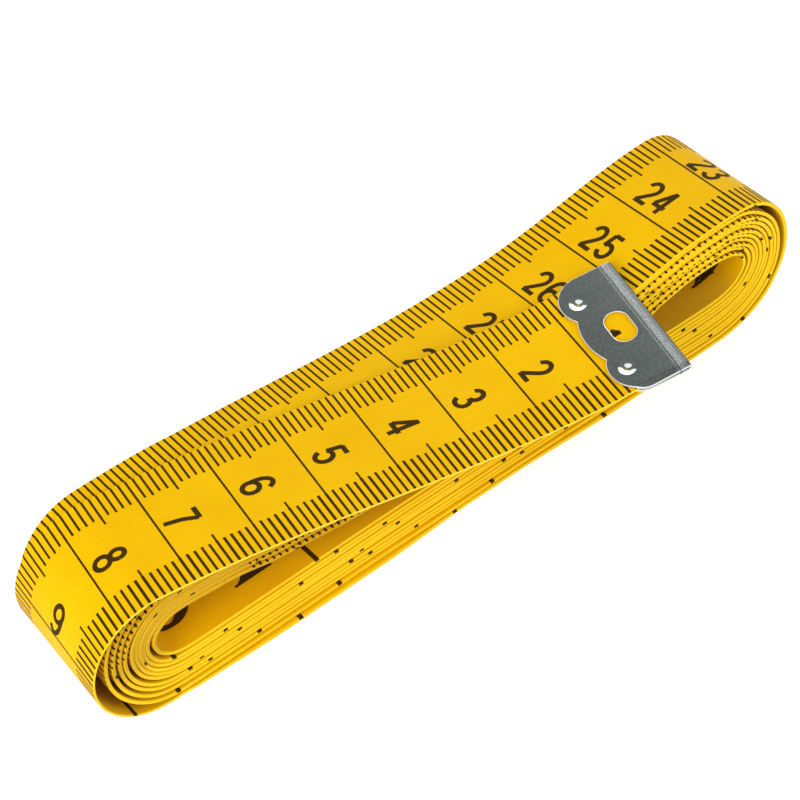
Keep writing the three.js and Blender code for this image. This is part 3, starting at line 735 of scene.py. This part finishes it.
def print_object(name, path, marks, signs, lift, inner, material):
    """Printed marks and signs laid on one face of the tape, each point put at its place along it."""
    heights = [face_height(points[:, 0], lift, inner) for points, _ in signs]
    flat = np.vstack([marks] + [np.c_[points, h] for (points, _), h in zip(signs, heights)])
    starts = len(marks) + np.cumsum([0] + [len(points) for points, _ in signs])
    tris = np.vstack([t + start for (_, t), start in zip(signs, starts)])
    quads = np.arange(len(marks)).reshape(-1, 4)
    points = on_tape(path, *flat.T)
    within = np.clip(flat[:, 1], -0.95 * HALF_WIDTH, 0.95 * HALF_WIDTH)
    inside = on_tape(path, flat[:, 0], within, OUTER_FACE - thickness_at(flat[:, 0]) / 2)
    faces = [facing(points, inside, quads), facing(points, inside, tris)]
    uv = np.stack([flat[:, 0] / 100, flat[:, 1] / (2 * HALF_WIDTH) + 0.5], -1)
    return mesh_object(name, points, faces, uv, [material])


def centimetre_numbers(shapes, first, last):
    """Numbers before each line, their tops towards the start and read from the far edge to the near."""
    signs = []
    tall, gap = 4.55, 0.36
    for number in range(first, last + 1):
        digits = [int(d) for d in str(number)]
        widths = [shapes[d][2] * tall for d in digits]
        at = (sum(widths) + gap * (len(digits) - 1)) / 2 + np.interp(number, NUMBERED, NUMBER_ASIDE)
        middle = 10 * number - np.interp(number, NUMBERED, NUMBER_BEFORE)
        for d, wide in zip(digits, widths):
            co, tris, _ = shapes[d]
            s, w = middle - co[:, 1] * tall, at - wide / 2 - co[:, 0] * tall
            signs.append((np.stack([s, w], -1), tris))
            at -= wide + gap
    return signs


def inch_numbers(shapes, first, last, shift):
    """Tall numbers read along the tape, a digit in each half of the inch before its bar."""
    signs = []
    tall, aside = 10.5, -1.2
    alone, pair = (-12.7,), (-19.4, -8.7)
    for number in range(first, last + 1):
        digits = [int(d) for d in str(number)]
        places = pair if len(digits) == 2 else alone
        for d, place, nudge in zip(digits, places, INCH_NUDGE.get(number, (0.0, 0.0))):
            co, tris, _ = shapes[d]
            s = inch_at(number, shift) + place + nudge + co[:, 0] * tall
            signs.append((np.stack([s, aside + co[:, 1] * tall], -1), tris))
    return signs


def arc_points(a, b, radius, start, stop, count):
    """Points on an arc about a centre, the angles in radians."""
    t = np.linspace(start, stop, count)
    return np.stack([a + radius * np.cos(t), b + radius * np.sin(t)], -1)


def tip_outline():
    """The edge of three lobes that meet in two cusps, from the near side to the far side."""
    side = TIP_WIDTH / 2
    centre, lobe_a = side - TIP_LOBE, TIP_LENGTH - TIP_LOBE
    turn = math.asin((centre - TIP_CUSP_B) / TIP_LOBE)
    depth = TIP_LOBE * (1 - math.cos(turn))
    middle = (TIP_CUSP_B**2 + depth**2) / (2 * depth)
    spread = math.asin(TIP_CUSP_B / middle)
    return np.vstack([
        arc_points(lobe_a, -centre, TIP_LOBE, -0.5 * np.pi, turn, 24),
        arc_points(TIP_LENGTH - middle, 0, middle, -spread, spread, 18)[1:-1],
        arc_points(lobe_a, centre, TIP_LOBE, -turn, 0.5 * np.pi, 24),
    ])


def slot_outline():
    """The edge of the slot: two half circles joined by straight sides."""
    r = SLOT_ALONG / 2
    reach = SLOT_ACROSS / 2 - r
    return np.vstack([
        arc_points(SLOT_A, reach, r, 0, np.pi, 16),
        arc_points(SLOT_A, -reach, r, np.pi, 2 * np.pi, 16),
    ])


def mesh_array(collection, key, width, kind):
    """A property of the elements of a mesh, so many values for each, in rows of three."""
    values = np.empty(width * len(collection), kind)
    collection.foreach_get(key, values)
    return values.reshape(-1, 3)


def flat_plate(loops):
    """The unfolded plate: its outline and holes filled, with thickness and rounded edges, and cut across
    in narrow strips where it folds. Returns points, triangles and which of them are bright steel: the
    steep cut edges, partly rubbed metal and partly a painted highlight, and a band of painted highlight
    along the outer fold."""
    bevel, fold_cuts = 0.1, 13
    steep, fold_highlight = 0.97, (-0.75, -0.2)
    curve = bpy.data.curves.new("plate", "CURVE")
    curve.dimensions = "2D"
    curve.fill_mode = "BOTH"
    curve.extrude = TIP_SHEET / 2 - bevel
    curve.bevel_depth = bevel
    curve.bevel_resolution = 1
    curve.offset = -bevel
    for loop in loops:
        spline = curve.splines.new("POLY")
        spline.points.add(len(loop) - 1)
        co = np.c_[loop, np.zeros(len(loop)), np.ones(len(loop))]
        spline.points.foreach_set("co", co.ravel())
        spline.use_cyclic_u = True
    holder = bpy.data.objects.new("plate", curve)
    bpy.context.scene.collection.objects.link(holder)
    mesh = bpy.data.meshes.new_from_object(holder.evaluated_get(bpy.context.evaluated_depsgraph_get()))
    bm = bmesh.new()
    bm.from_mesh(mesh)
    bmesh.ops.remove_doubles(bm, verts=bm.verts, dist=1e-4)
    for cut in np.linspace(-math.pi * FOLD_RADIUS, 0, fold_cuts):
        everything = list(bm.verts) + list(bm.edges) + list(bm.faces)
        bmesh.ops.bisect_plane(bm, geom=everything, dist=1e-6, plane_co=(cut, 0, 0), plane_no=(1, 0, 0))
    bmesh.ops.triangulate(bm, faces=bm.faces)
    bm.to_mesh(mesh)
    bm.free()
    co = mesh_array(mesh.vertices, "co", 3, np.float32).astype(float)
    faces = mesh_array(mesh.loops, "vertex_index", 1, np.int32)
    normal = mesh_array(mesh.polygons, "normal", 3, np.float32)
    q = co[faces].mean(1)[:, 0]
    # Bright steel on the steep edges is partly rubbed metal and partly a painted highlight; the band on
    # the fold is a painted highlight.
    bright = (np.abs(normal[:, 2]) < steep) | ((q > fold_highlight[0]) & (q < fold_highlight[1]))
    bpy.data.objects.remove(holder)
    bpy.data.curves.remove(curve)
    bpy.data.meshes.remove(mesh)
    return co, faces, bright


def folded_plate():
    """The plate folded over the end of the tape: its middle strip is bent round a half circle, and one
    corner of the lower leaf is pinched up. Returns points, triangles and the material of each."""
    rim, pinch_from, pinch_run = 0.3, 9.5, 0.7
    ring = arc_points(0, 0, DIMPLE_WIDE / 2, 0, 2 * np.pi, 33)[:-1]
    start = -math.pi * FOLD_RADIUS

    def upper(loop):
        return loop - np.array([TIP_HALF, 0])

    def lower(loop):
        return np.stack([start - (loop[:, 0] - TIP_HALF), loop[:, 1]], -1)

    outline = tip_outline()
    holes = [slot_outline()] + [ring + np.array([DIMPLE_A, b]) for b in (-DIMPLE_B, DIMPLE_B)]
    loops = [np.vstack([upper(outline), lower(outline)[::-1]])]
    loops += [upper(h) for h in holes] + [lower(h) for h in holes]
    co, faces, bright = flat_plate(loops)
    q, b, t = co.T
    middle = co[faces].mean(1)
    from_fold = np.abs(middle[:, 0] - start / 2) + start / 2 + TIP_HALF
    reach = np.hypot(from_fold - DIMPLE_A, np.abs(middle[:, 1]) - DIMPLE_B)
    r = FOLD_RADIUS + t
    turn = np.clip(-q / FOLD_RADIUS, 0, math.pi)
    bent = np.where(q < start, TIP_HALF + start - q, TIP_HALF - r * np.sin(turn))
    a = np.where(q > 0, TIP_HALF + q, bent)
    pinched = TIP_PINCH * smooth((-b - pinch_from) / pinch_run) * smooth(q / start - 0.5)
    points = np.stack([a, b, r * np.cos(turn) + pinched], -1)
    return points, faces, bright & (reach > DIMPLE_WIDE / 2 + rim)


def dimple(side, centre):
    """A dimple pressed in one leaf: a ring that falls with the power 1.5 of the way inwards. It is worn
    steel, with painted highlights of bright steel in a crescent at one side and in a spot at the other."""
    rings, around = 13, 48
    lap, sunk_rim = 0.03, 0.015
    v = np.linspace(0, 1, rings)[:, None]
    angle = np.linspace(0, 2 * np.pi, around + 1)[:-1][None]
    radius = DIMPLE_WIDE / 2 + lap - (DIMPLE_WIDE - DIMPLE_HOLE) / 2 * v
    x = DIMPLE_A + radius * np.cos(angle)
    y = centre + radius * np.sin(angle)
    z = side * (TIP_HALF - sunk_rim - DIMPLE_DEPTH * v**1.5) + 0 * angle
    i, j = np.meshgrid(np.arange(rings - 1), np.arange(around), indexing="ij")
    k = (j + 1) % around
    quads = np.stack([i * around + j, (i + 1) * around + j, (i + 1) * around + k, i * around + k], -1)
    quads = quads.reshape(-1, 4)[:, ::side]
    # Painted highlights: a crescent and a spot of bright steel, turned by the dimple highlight angle.
    down = radius[:-1] * np.cos(angle + DIMPLE_HIGHLIGHT_TURN)
    aside = radius[:-1] * np.sin(angle + DIMPLE_HIGHLIGHT_TURN)
    crescent = (np.hypot(down + 0.45, aside) > 0.86) & (down > 0.06) & (v[:-1] < 0.9)
    spot = np.hypot((down + 0.5) / 0.75, aside / 1.2) < 0.42
    finish = np.where(crescent | spot, 1, 2).ravel()
    tris = np.vstack([quads[:, [0, 1, 2]], quads[:, [0, 2, 3]]])
    return np.stack([x, y, z], -1).reshape(-1, 3), tris, np.tile(finish, 2)


def tip_mesh():
    """The folded tip in its own frame: a along the tape from the fold, b across, c out of its face."""
    parts = [folded_plate()] + [dimple(side, b) for side in (1, -1) for b in (-DIMPLE_B, DIMPLE_B)]
    starts = np.cumsum([0] + [len(points) for points, _, _ in parts])
    tris = np.vstack([tris + start for (_, tris, _), start in zip(parts, starts)])
    return np.vstack([points for points, _, _ in parts]), tris, np.concatenate([f for _, _, f in parts])


def tip_object(name, origin, along, across, materials):
    """A tip put on the end of the tape."""
    sharp = math.radians(20)
    co, tris, finish = tip_mesh()
    normal = np.cross(along, across)
    points = origin + co[:, [0]] * along + co[:, [1]] * across + co[:, [2]] * normal
    obj = mesh_object(name, points, [tris], co[:, :2] / 10, materials, finish)
    obj.data.set_sharp_from_angle(angle=sharp)
    return obj


def node_group(name, outputs, inputs=()):
    """An empty shader node group with its sockets."""
    group = bpy.data.node_groups.new(name, "ShaderNodeTree")
    for label, kind, default in inputs:
        group.interface.new_socket(name=label, in_out="INPUT", socket_type=kind).default_value = default
    for label, kind in outputs:
        group.interface.new_socket(name=label, in_out="OUTPUT", socket_type=kind)
    return group, group.nodes.new("NodeGroupInput"), group.nodes.new("NodeGroupOutput")


def feed(tree, socket, value):
    """A socket gets a link from another socket, or a plain value."""
    if isinstance(value, bpy.types.NodeSocket):
        tree.links.new(value, socket)
    else:
        socket.default_value = value


def noise(tree, vector, scale, detail=3.0, stretch=(1, 1, 1)):
    """A noise texture on stretched coordinates."""
    mapping = tree.nodes.new("ShaderNodeMapping")
    mapping.inputs["Scale"].default_value = stretch
    tree.links.new(vector, mapping.inputs["Vector"])
    texture = tree.nodes.new("ShaderNodeTexNoise")
    texture.inputs["Scale"].default_value = scale
    texture.inputs["Detail"].default_value = detail
    tree.links.new(mapping.outputs["Vector"], texture.inputs["Vector"])
    return texture.outputs["Fac"]


def ranged(tree, value, old, new):
    """A value moved from one range to another, and held within it."""
    node = tree.nodes.new("ShaderNodeMapRange")
    for label, x in zip(("From Min", "From Max", "To Min", "To Max"), (*old, *new)):
        node.inputs[label].default_value = x
    tree.links.new(value, node.inputs["Value"])
    return node.outputs["Result"]


def mixed(tree, factor, a, b):
    """A colour mixed from two, each a socket or a plain colour."""
    node = tree.nodes.new("ShaderNodeMix")
    node.data_type = "RGBA"
    tree.links.new(factor, node.inputs["Factor"])
    for label, value in (("A", a), ("B", b)):
        feed(tree, [s for s in node.inputs if s.name == label and s.type == "RGBA"][0], value)
    return [s for s in node.outputs if s.type == "RGBA"][0]


def calculated(tree, operation, a, b=0.0):
    """A math node on two values, each a socket or a plain number."""
    node = tree.nodes.new("ShaderNodeMath")
    node.operation = operation
    feed(tree, node.inputs[0], a)
    feed(tree, node.inputs[1], b)
    return node.outputs[0]


def summed(tree, a, b):
    """The sum of two values."""
    return calculated(tree, "ADD", a, b)


def times(tree, a, b):
    """The product of two values."""
    return calculated(tree, "MULTIPLY", a, b)


def coated_cloth_group():
    """Vinyl-coated cloth: lengthwise streaks, mottling, a faint weave under the coat, and painted shade,
    a darker colour mixed in by a point attribute."""
    grey = (0.5, 0.5, 0.5, 1)
    group, into, out = node_group(
        "coated_cloth",
        [("Colour", COLOUR), ("Roughness", FLOAT), ("Height", FLOAT)],
        [("Colour", COLOUR, grey), ("Deep colour", COLOUR, grey)],
    )
    coord = group.nodes.new("ShaderNodeTexCoord")
    streak = noise(group, coord.outputs["UV"], scale=1.0, detail=4, stretch=(1.5, 70, 1))
    fine = noise(group, coord.outputs["UV"], scale=1.0, detail=2, stretch=(9, 240, 1))
    mottle = noise(group, coord.outputs["Object"], scale=140.0)
    grain = noise(group, coord.outputs["Object"], scale=2600.0, detail=2)
    amount = summed(group, summed(group, streak, fine), mottle)
    factor = ranged(group, amount, (1.15, 1.85), (0.0, 0.75))
    clean = mixed(group, factor, into.outputs["Colour"], into.outputs["Deep colour"])
    # Painted shade: a point attribute mixes in a darker colour where the free end and the roof shade the
    # cloth.
    painted_shade = group.nodes.new("ShaderNodeAttribute")
    painted_shade.attribute_name = "painted_shade"
    painted_shade_share = ranged(group, painted_shade.outputs["Fac"], (0.0, 1.0), (0.0, 0.8))
    feed(group, out.inputs["Colour"], mixed(group, painted_shade_share, clean, PAINTED_SHADE_COLOUR))
    feed(group, out.inputs["Roughness"], ranged(group, mottle, (0.3, 0.7), (0.36, 0.48)))
    feed(group, out.inputs["Height"], summed(group, times(group, fine, 0.5), grain))
    return group


def printed_ink_group():
    """Printing ink with small thin spots."""
    dark = (0.05, 0.05, 0.05, 1)
    group, into, out = node_group(
        "printed_ink",
        [("Colour", COLOUR), ("Roughness", FLOAT)],
        [("Colour", COLOUR, dark), ("Thin colour", COLOUR, dark)],
    )
    coord = group.nodes.new("ShaderNodeTexCoord")
    spots = noise(group, coord.outputs["Object"], scale=3200.0)
    areas = noise(group, coord.outputs["Object"], scale=380.0, detail=2)
    factor = ranged(group, summed(group, spots, areas), (1.0, 1.35), (0.0, 0.55))
    colour = mixed(group, factor, into.outputs["Colour"], into.outputs["Thin colour"])
    feed(group, out.inputs["Colour"], colour)
    feed(group, out.inputs["Roughness"], ranged(group, areas, (0.3, 0.7), (0.42, 0.55)))
    return group


def scratched_steel_group():
    """Rolled sheet steel: mottling, fine grain, a crease by the fold, pressed in by the bump and
    darkened with painted shade, and bright flecks along it.
    """
    grey, crease_shade = (0.2, 0.2, 0.2, 1), (0.012, 0.014, 0.013, 1)
    crease_u, fleck_aside = 0.165, 0.045
    group, into, out = node_group(
        "scratched_steel",
        [("Colour", COLOUR), ("Roughness", FLOAT), ("Height", FLOAT)],
        [("Colour", COLOUR, grey), ("Scratch colour", COLOUR, grey)],
    )
    uv = group.nodes.new("ShaderNodeTexCoord").outputs["UV"]
    mottle = noise(group, uv, scale=26.0, detail=4)
    grain = noise(group, uv, scale=150.0, detail=2)
    speckle = noise(group, uv, scale=120.0, detail=1)
    split = group.nodes.new("ShaderNodeSeparateXYZ")
    group.links.new(uv, split.inputs[0])
    off = calculated(group, "SUBTRACT", split.outputs["X"], crease_u)
    crease = ranged(group, calculated(group, "ABSOLUTE", off), (0.005, 0.012), (1.0, 0.0))
    rows = calculated(group, "ABSOLUTE", summed(group, off, fleck_aside))
    near = ranged(group, rows, (0.03, 0.09), (1.0, 0.0))
    fleck = times(group, near, ranged(group, speckle, (0.54, 0.62), (0.08, 1.0)))
    dull = ranged(group, mottle, (0.4, 0.75), (0.0, 0.05))
    rubbed = summed(group, dull, ranged(group, grain, (0.45, 0.75), (0.0, 0.05)))
    factor = ranged(group, summed(group, rubbed, times(group, fleck, 0.8)), (0.0, 1.0), (0.0, 1.0))
    plain = mixed(group, factor, into.outputs["Colour"], into.outputs["Scratch colour"])
    # Painted shade: the crease is darkened towards the crease shade colour.
    dark = ranged(group, crease, (0.0, 1.0), (0.0, 0.7))
    feed(group, out.inputs["Colour"], mixed(group, dark, plain, crease_shade))
    feed(group, out.inputs["Roughness"], ranged(group, mottle, (0.3, 0.7), (0.3, 0.42)))
    feed(group, out.inputs["Height"], summed(group, mottle, times(group, crease, -2.0)))
    return group


def material(name, group, colours, bump=0.0, **values):
    """A Principled material fed by a node group, with plain values on its own sockets."""
    made = bpy.data.materials.new(name)
    made.use_nodes = True
    tree = made.node_tree
    shader = tree.nodes["Principled BSDF"]
    node = tree.nodes.new("ShaderNodeGroup")
    node.node_tree = group
    for label, colour in colours.items():
        node.inputs[label].default_value = (*colour, 1)
    tree.links.new(node.outputs["Colour"], shader.inputs["Base Color"])
    tree.links.new(node.outputs["Roughness"], shader.inputs["Roughness"])
    for label, value in values.items():
        shader.inputs[label.replace("_", " ")].default_value = value
    if bump:
        bent = tree.nodes.new("ShaderNodeBump")
        bent.inputs["Strength"].default_value = bump
        bent.inputs["Distance"].default_value = BUMP_DISTANCE
        tree.links.new(node.outputs["Height"], bent.inputs["Height"])
        tree.links.new(bent.outputs["Normal"], shader.inputs["Normal"])
    return made


def colour_property(name, description, default):
    """A colour that a user may change."""
    return FloatVectorProperty(
        name=name, description=description, default=default, subtype="COLOR", min=0, max=1)


class TapeSettings(bpy.types.PropertyGroup):
    """Sizes and colours of the tape measure."""

    thickness: FloatProperty(
        name="Layer thickness", description="Thickness of the coated cloth in the roll",
        default=0.0005, min=0.0003, max=0.00052, unit="LENGTH", precision=5)
    free_thickness: FloatProperty(
        name="Free end thickness", description="Thickness of the coated cloth in the free end",
        default=0.0003, min=0.0002, max=0.00048, unit="LENGTH", precision=5)
    ink_lift: FloatProperty(
        name="Ink lift", description="Height of the printed ink above the cloth",
        default=0.00002, min=0.000005, max=0.00005, unit="LENGTH", precision=6)
    inch_shift: FloatProperty(
        name="Inch shift", description="How far the last inch lies from its place on an even scale",
        default=-0.0056, unit="LENGTH", precision=4)
    cloth: colour_property("Cloth", "Colour of the coated cloth", (0.88, 0.515, 0.0015))
    cloth_deep: colour_property("Deep cloth", "Colour of the darker streaks", (0.8, 0.43, 0.001))
    edge: colour_property("Cut edge", "Colour of the cut edges", (0.97, 0.65, 0.018))
    edge_deep: colour_property("Deep edge", "Colour of darker threads in the edges", (0.88, 0.53, 0.008))
    frayed: colour_property("Frayed edge", "Colour of the free end's worn edges", (0.95, 0.67, 0.08))
    ink: colour_property("Ink", "Colour of the printed scales", (0.046, 0.024, 0.0025))
    ink_thin: colour_property("Thin ink", "Colour where the ink is thin", (0.1, 0.05, 0.005))
    steel: colour_property("Steel", "Colour of the tips", (0.066, 0.078, 0.073))
    steel_worn: colour_property("Worn steel", "Colour of the pressed dimples", (0.1, 0.11, 0.105))
    # Bright steel serves for the scratches and rubbed edges, and also as painted highlights on the fold,
    # the edges and in the dimples.
    steel_bright: colour_property(
        "Bright steel", "Colour of scratches and rubbed edges", (0.76, 0.79, 0.78))


def settings():
    """The sizes and colours in use."""
    return bpy.context.scene.tape_measure


def cloth_materials():
    """The materials of the cloth's faces, its cut edges and the free end's worn edges, made once."""
    names = ("tape_cloth", "tape_cut_edge", "tape_frayed_edge")
    if names[0] not in bpy.data.materials:
        s = settings()
        group = coated_cloth_group()
        pairs = ((s.cloth, s.cloth_deep), (s.edge, s.edge_deep), (s.frayed, s.edge))
        for name, (colour, deep), bump in zip(names, pairs, (0.25, 0.4, 0.5)):
            material(name, group, {"Colour": colour, "Deep colour": deep}, bump, Specular_IOR_Level=0.02,
                     Sheen_Weight=0.07, Sheen_Roughness=0.35)
    return [bpy.data.materials[name] for name in names]


def free_blend(obj):
    """Bakes the object's placement into its mesh."""
    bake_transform(obj)


class TAPE_OT_roll(bpy.types.Operator):
    """Build the wound tape: one strip from the left bend round and inwards to the inner end"""

    bl_idname = "tape.roll"
    bl_label = "Wound tape"

    def execute(self, context):
        obj = tape_strip("tape_wound", roll_path(), cloth_materials()[:2])
        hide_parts("tape_roll")
        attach(obj, "roll")
        return {"FINISHED"}


class TAPE_OT_free_end(bpy.types.Operator):
    """Build the free end of the tape, from inside its tip to the left bend"""

    bl_idname = "tape.free_end"
    bl_label = "Free end"

    def execute(self, context):
        obj = tape_strip("tape_free", free_path(), cloth_materials()[::2])
        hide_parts("tape_free_end")
        free_blend(obj)
        return {"FINISHED"}


class TAPE_OT_scales(bpy.types.Operator):
    """Print the centimetre scale on the outer face and the inch scale on the inner face"""

    bl_idname = "tape.scales"
    bl_label = "Printed scales"

    def execute(self, context):
        s = settings()
        shift, lift = s.inch_shift / MM, s.ink_lift / MM
        ink = material("printed_ink", printed_ink_group(), {"Colour": s.ink, "Thin colour": s.ink_thin},
                       Specular_IOR_Level=0.03, Sheen_Weight=0.07, Sheen_Roughness=0.35)
        slim, tall = plain_digits(), serif_digits()
        free, roll = free_path(), roll_path()
        prints = [
            ("centimetres_free", free, centimetre_marks(free, lift),
             centimetre_numbers(slim, 1, 8), False, True),
            ("inches_free", free, inch_marks(free, shift, lift),
             inch_numbers(tall, 1, 2, shift), True, True),
            ("centimetres_wound", roll, centimetre_marks(roll, lift),
             centimetre_numbers(slim, 9, 33), False, False),
            ("inches_wound", roll, inch_marks(roll, shift, lift),
             inch_numbers(tall, 88, 97, shift), True, False),
        ]
        for name, path, marks, signs, inner, bends in prints:
            obj = print_object(name, path, marks, signs, lift, inner, ink)
            if bends:
                free_blend(obj)
            else:
                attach(obj, "roll")
        return {"FINISHED"}


class TAPE_OT_tips(bpy.types.Operator):
    """Build the folded steel tips on both ends of the tape"""

    bl_idname = "tape.tips"
    bl_label = "Steel tips"

    def execute(self, context):
        s = settings()
        group = scratched_steel_group()
        finishes = [
            material(name, group, {"Colour": colour, "Scratch colour": s.steel_bright}, bump,
                     Metallic=1.0)
            for name, colour, bump in (
                ("tip_steel", s.steel, 0.2),
                ("tip_bright_steel", s.steel_bright, 0.1),
                ("tip_worn_steel", s.steel_worn, 0.1),
            )
        ]
        middle = OUTER_FACE - s.free_thickness / MM / 2
        p, along, across, normal = (v[0] for v in free_frame(np.array([0.0])))
        c, k = math.cos(TIP_SKEW), math.sin(TIP_SKEW)
        origin = p - along * TIP_REACH + across * TIP_SHIFT + normal * middle
        outer = tip_object("tip_outer", origin, along * c + across * k, across * c - along * k, finishes)
        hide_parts("outer_end_tip")
        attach(outer, "free_end")
        roll = roll_path()
        origin = roll["fold"] + roll["near_n"][-1] * (OUTER_FACE - s.thickness / MM / 2)
        inner = tip_object("tip_inner", origin, roll["along"], np.array([0.0, 1.0, 0.0]), finishes)
        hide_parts("inner_end_tip")
        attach(inner, "roll")
        return {"FINISHED"}


class TAPE_OT_studio(bpy.types.Operator):
    """Set up the pale floor, the soft lights and the camera"""

    bl_idname = "tape.studio"
    bl_label = "Studio"

    def execute(self, context):
        scene = context.scene
        scene.view_settings.view_transform = "Standard"
        r, z = FLOOR_HALF, FLOOR_Z
        mesh = bpy.data.meshes.new("studio_floor")
        mesh.from_pydata([(-r, -r, z), (r, -r, z), (r, r, z), (-r, r, z)], [], [(0, 1, 2, 3)])
        mesh.materials.append(floor_material())
        floor = bpy.data.objects.new("studio_floor", mesh)
        scene.collection.objects.link(floor)
        studio_world(scene)
        for light in LIGHTS:
            area_light(*light)
        photo_camera(scene)
        return {"FINISHED"}


def seen_strength(tree, straight, mirrored):
    """A strength for what the camera sees straight and for what it sees in metal or through glass."""
    path = tree.nodes.new("ShaderNodeLightPath")
    rays = path.outputs
    other = calculated(tree, "MAXIMUM", rays["Is Glossy Ray"], rays["Is Transmission Ray"])
    eye = times(tree, rays["Is Camera Ray"], straight)
    return summed(tree, eye, times(tree, other, mirrored))


def floor_material():
    """A near-white floor that keeps the object's shadow."""
    pale, paler = (0.9, 0.9, 0.9, 1), (0.93, 0.93, 0.93, 1)
    made = bpy.data.materials.new("studio_floor")
    made.use_nodes = True
    tree = made.node_tree
    shader = tree.nodes["Principled BSDF"]
    coord = tree.nodes.new("ShaderNodeTexCoord")
    tint = mixed(tree, noise(tree, coord.outputs["Object"], scale=3.0), pale, paler)
    tree.links.new(tint, shader.inputs["Base Color"])
    shader.inputs["Roughness"].default_value = 0.9
    shader.inputs["Specular IOR Level"].default_value = 0.0
    shader.inputs["Emission Color"].default_value = (1, 1, 1, 1)
    tree.links.new(seen_strength(tree, FLOOR_SEEN, FLOOR_MIRRORED), shader.inputs["Emission Strength"])
    return made


def studio_world(scene):
    """White to the eye and in reflections, softer as a light."""
    world = bpy.data.worlds.new("studio")
    scene.world = world
    world.use_nodes = True
    tree = world.node_tree
    sky = tree.nodes["Background"]
    sky.inputs["Color"].default_value = (1, 1, 1, 1)
    strength = summed(tree, seen_strength(tree, WORLD_SEEN, WORLD_SEEN), WORLD_LIGHT)
    tree.links.new(strength, sky.inputs["Strength"])


def placed(right, up, back, place):
    """The matrix of a light or camera from its three directions and its place."""
    matrix = np.eye(4)
    matrix[:3] = np.stack([right, up, back, place], -1)
    return Matrix(matrix.tolist())


def area_light(name, place, size, power):
    """A soft square light that faces the object."""
    data = bpy.data.lights.new(name, "AREA")
    data.size = size
    data.energy = power
    light = bpy.data.objects.new(name, data)
    back = unit(np.array(place) - np.array(LIGHTS_AIM))
    right = unit(np.cross([0.0, 0.0, 1.0], back))
    light.matrix_world = placed(right, np.cross(back, right), back, place)
    bpy.context.scene.collection.objects.link(light)


def photo_camera(scene):
    """The camera at the photograph's angle, found from the printed scale."""
    az, el, roll = np.radians(CAMERA_ANGLES)
    back = np.array([math.sin(az) * math.cos(el), -math.cos(az) * math.cos(el), math.sin(el)])
    right = np.array([math.cos(az), math.sin(az), 0.0])
    up = np.cross(back, right)
    turned_right = math.cos(roll) * right + math.sin(roll) * up
    turned_up = math.cos(roll) * up - math.sin(roll) * right
    eye = (np.array(CAMERA_AIM) + CAMERA_DISTANCE * back) * MM
    data = bpy.data.cameras.new("photo_camera")
    data.sensor_width = SENSOR_WIDTH
    data.lens = FOCAL_PIXELS / PICTURE_PIXELS * SENSOR_WIDTH
    data.clip_start = 0.01
    data.clip_end = 20.0
    camera = bpy.data.objects.new("photo_camera", data)
    camera.matrix_world = placed(turned_right, turned_up, back, eye)
    scene.collection.objects.link(camera)
    scene.camera = camera


class VIEW3D_PT_tape_measure(bpy.types.Panel):
    """Steps that build the tape measure, and its settings"""

    bl_label = "Tape measure"
    bl_idname = "VIEW3D_PT_tape_measure"
    bl_space_type = "VIEW_3D"
    bl_region_type = "UI"
    bl_category = "Tape measure"

    def draw(self, context):
        for operator in STEPS:
            self.layout.operator(operator.bl_idname)
        for name in TapeSettings.__annotations__:
            self.layout.prop(context.scene.tape_measure, name)


STEPS = (TAPE_OT_studio, TAPE_OT_roll, TAPE_OT_free_end, TAPE_OT_scales, TAPE_OT_tips)


def register():
    """Add the classes and the settings."""
    for cls in (TapeSettings, *STEPS, VIEW3D_PT_tape_measure):
        bpy.utils.register_class(cls)
    bpy.types.Scene.tape_measure = PointerProperty(type=TapeSettings)


def unregister():
    """Take the settings and the classes away."""
    del bpy.types.Scene.tape_measure
    for cls in (VIEW3D_PT_tape_measure, *reversed(STEPS), TapeSettings):
        bpy.utils.unregister_class(cls)


def main():
    """Build the tape measure step by step."""
    register()
    bpy.ops.tape.studio()
    bpy.ops.tape.roll()
    bpy.ops.tape.free_end()
    bpy.ops.tape.scales()
    bpy.ops.tape.tips()


if __name__ == "__main__":
    main()
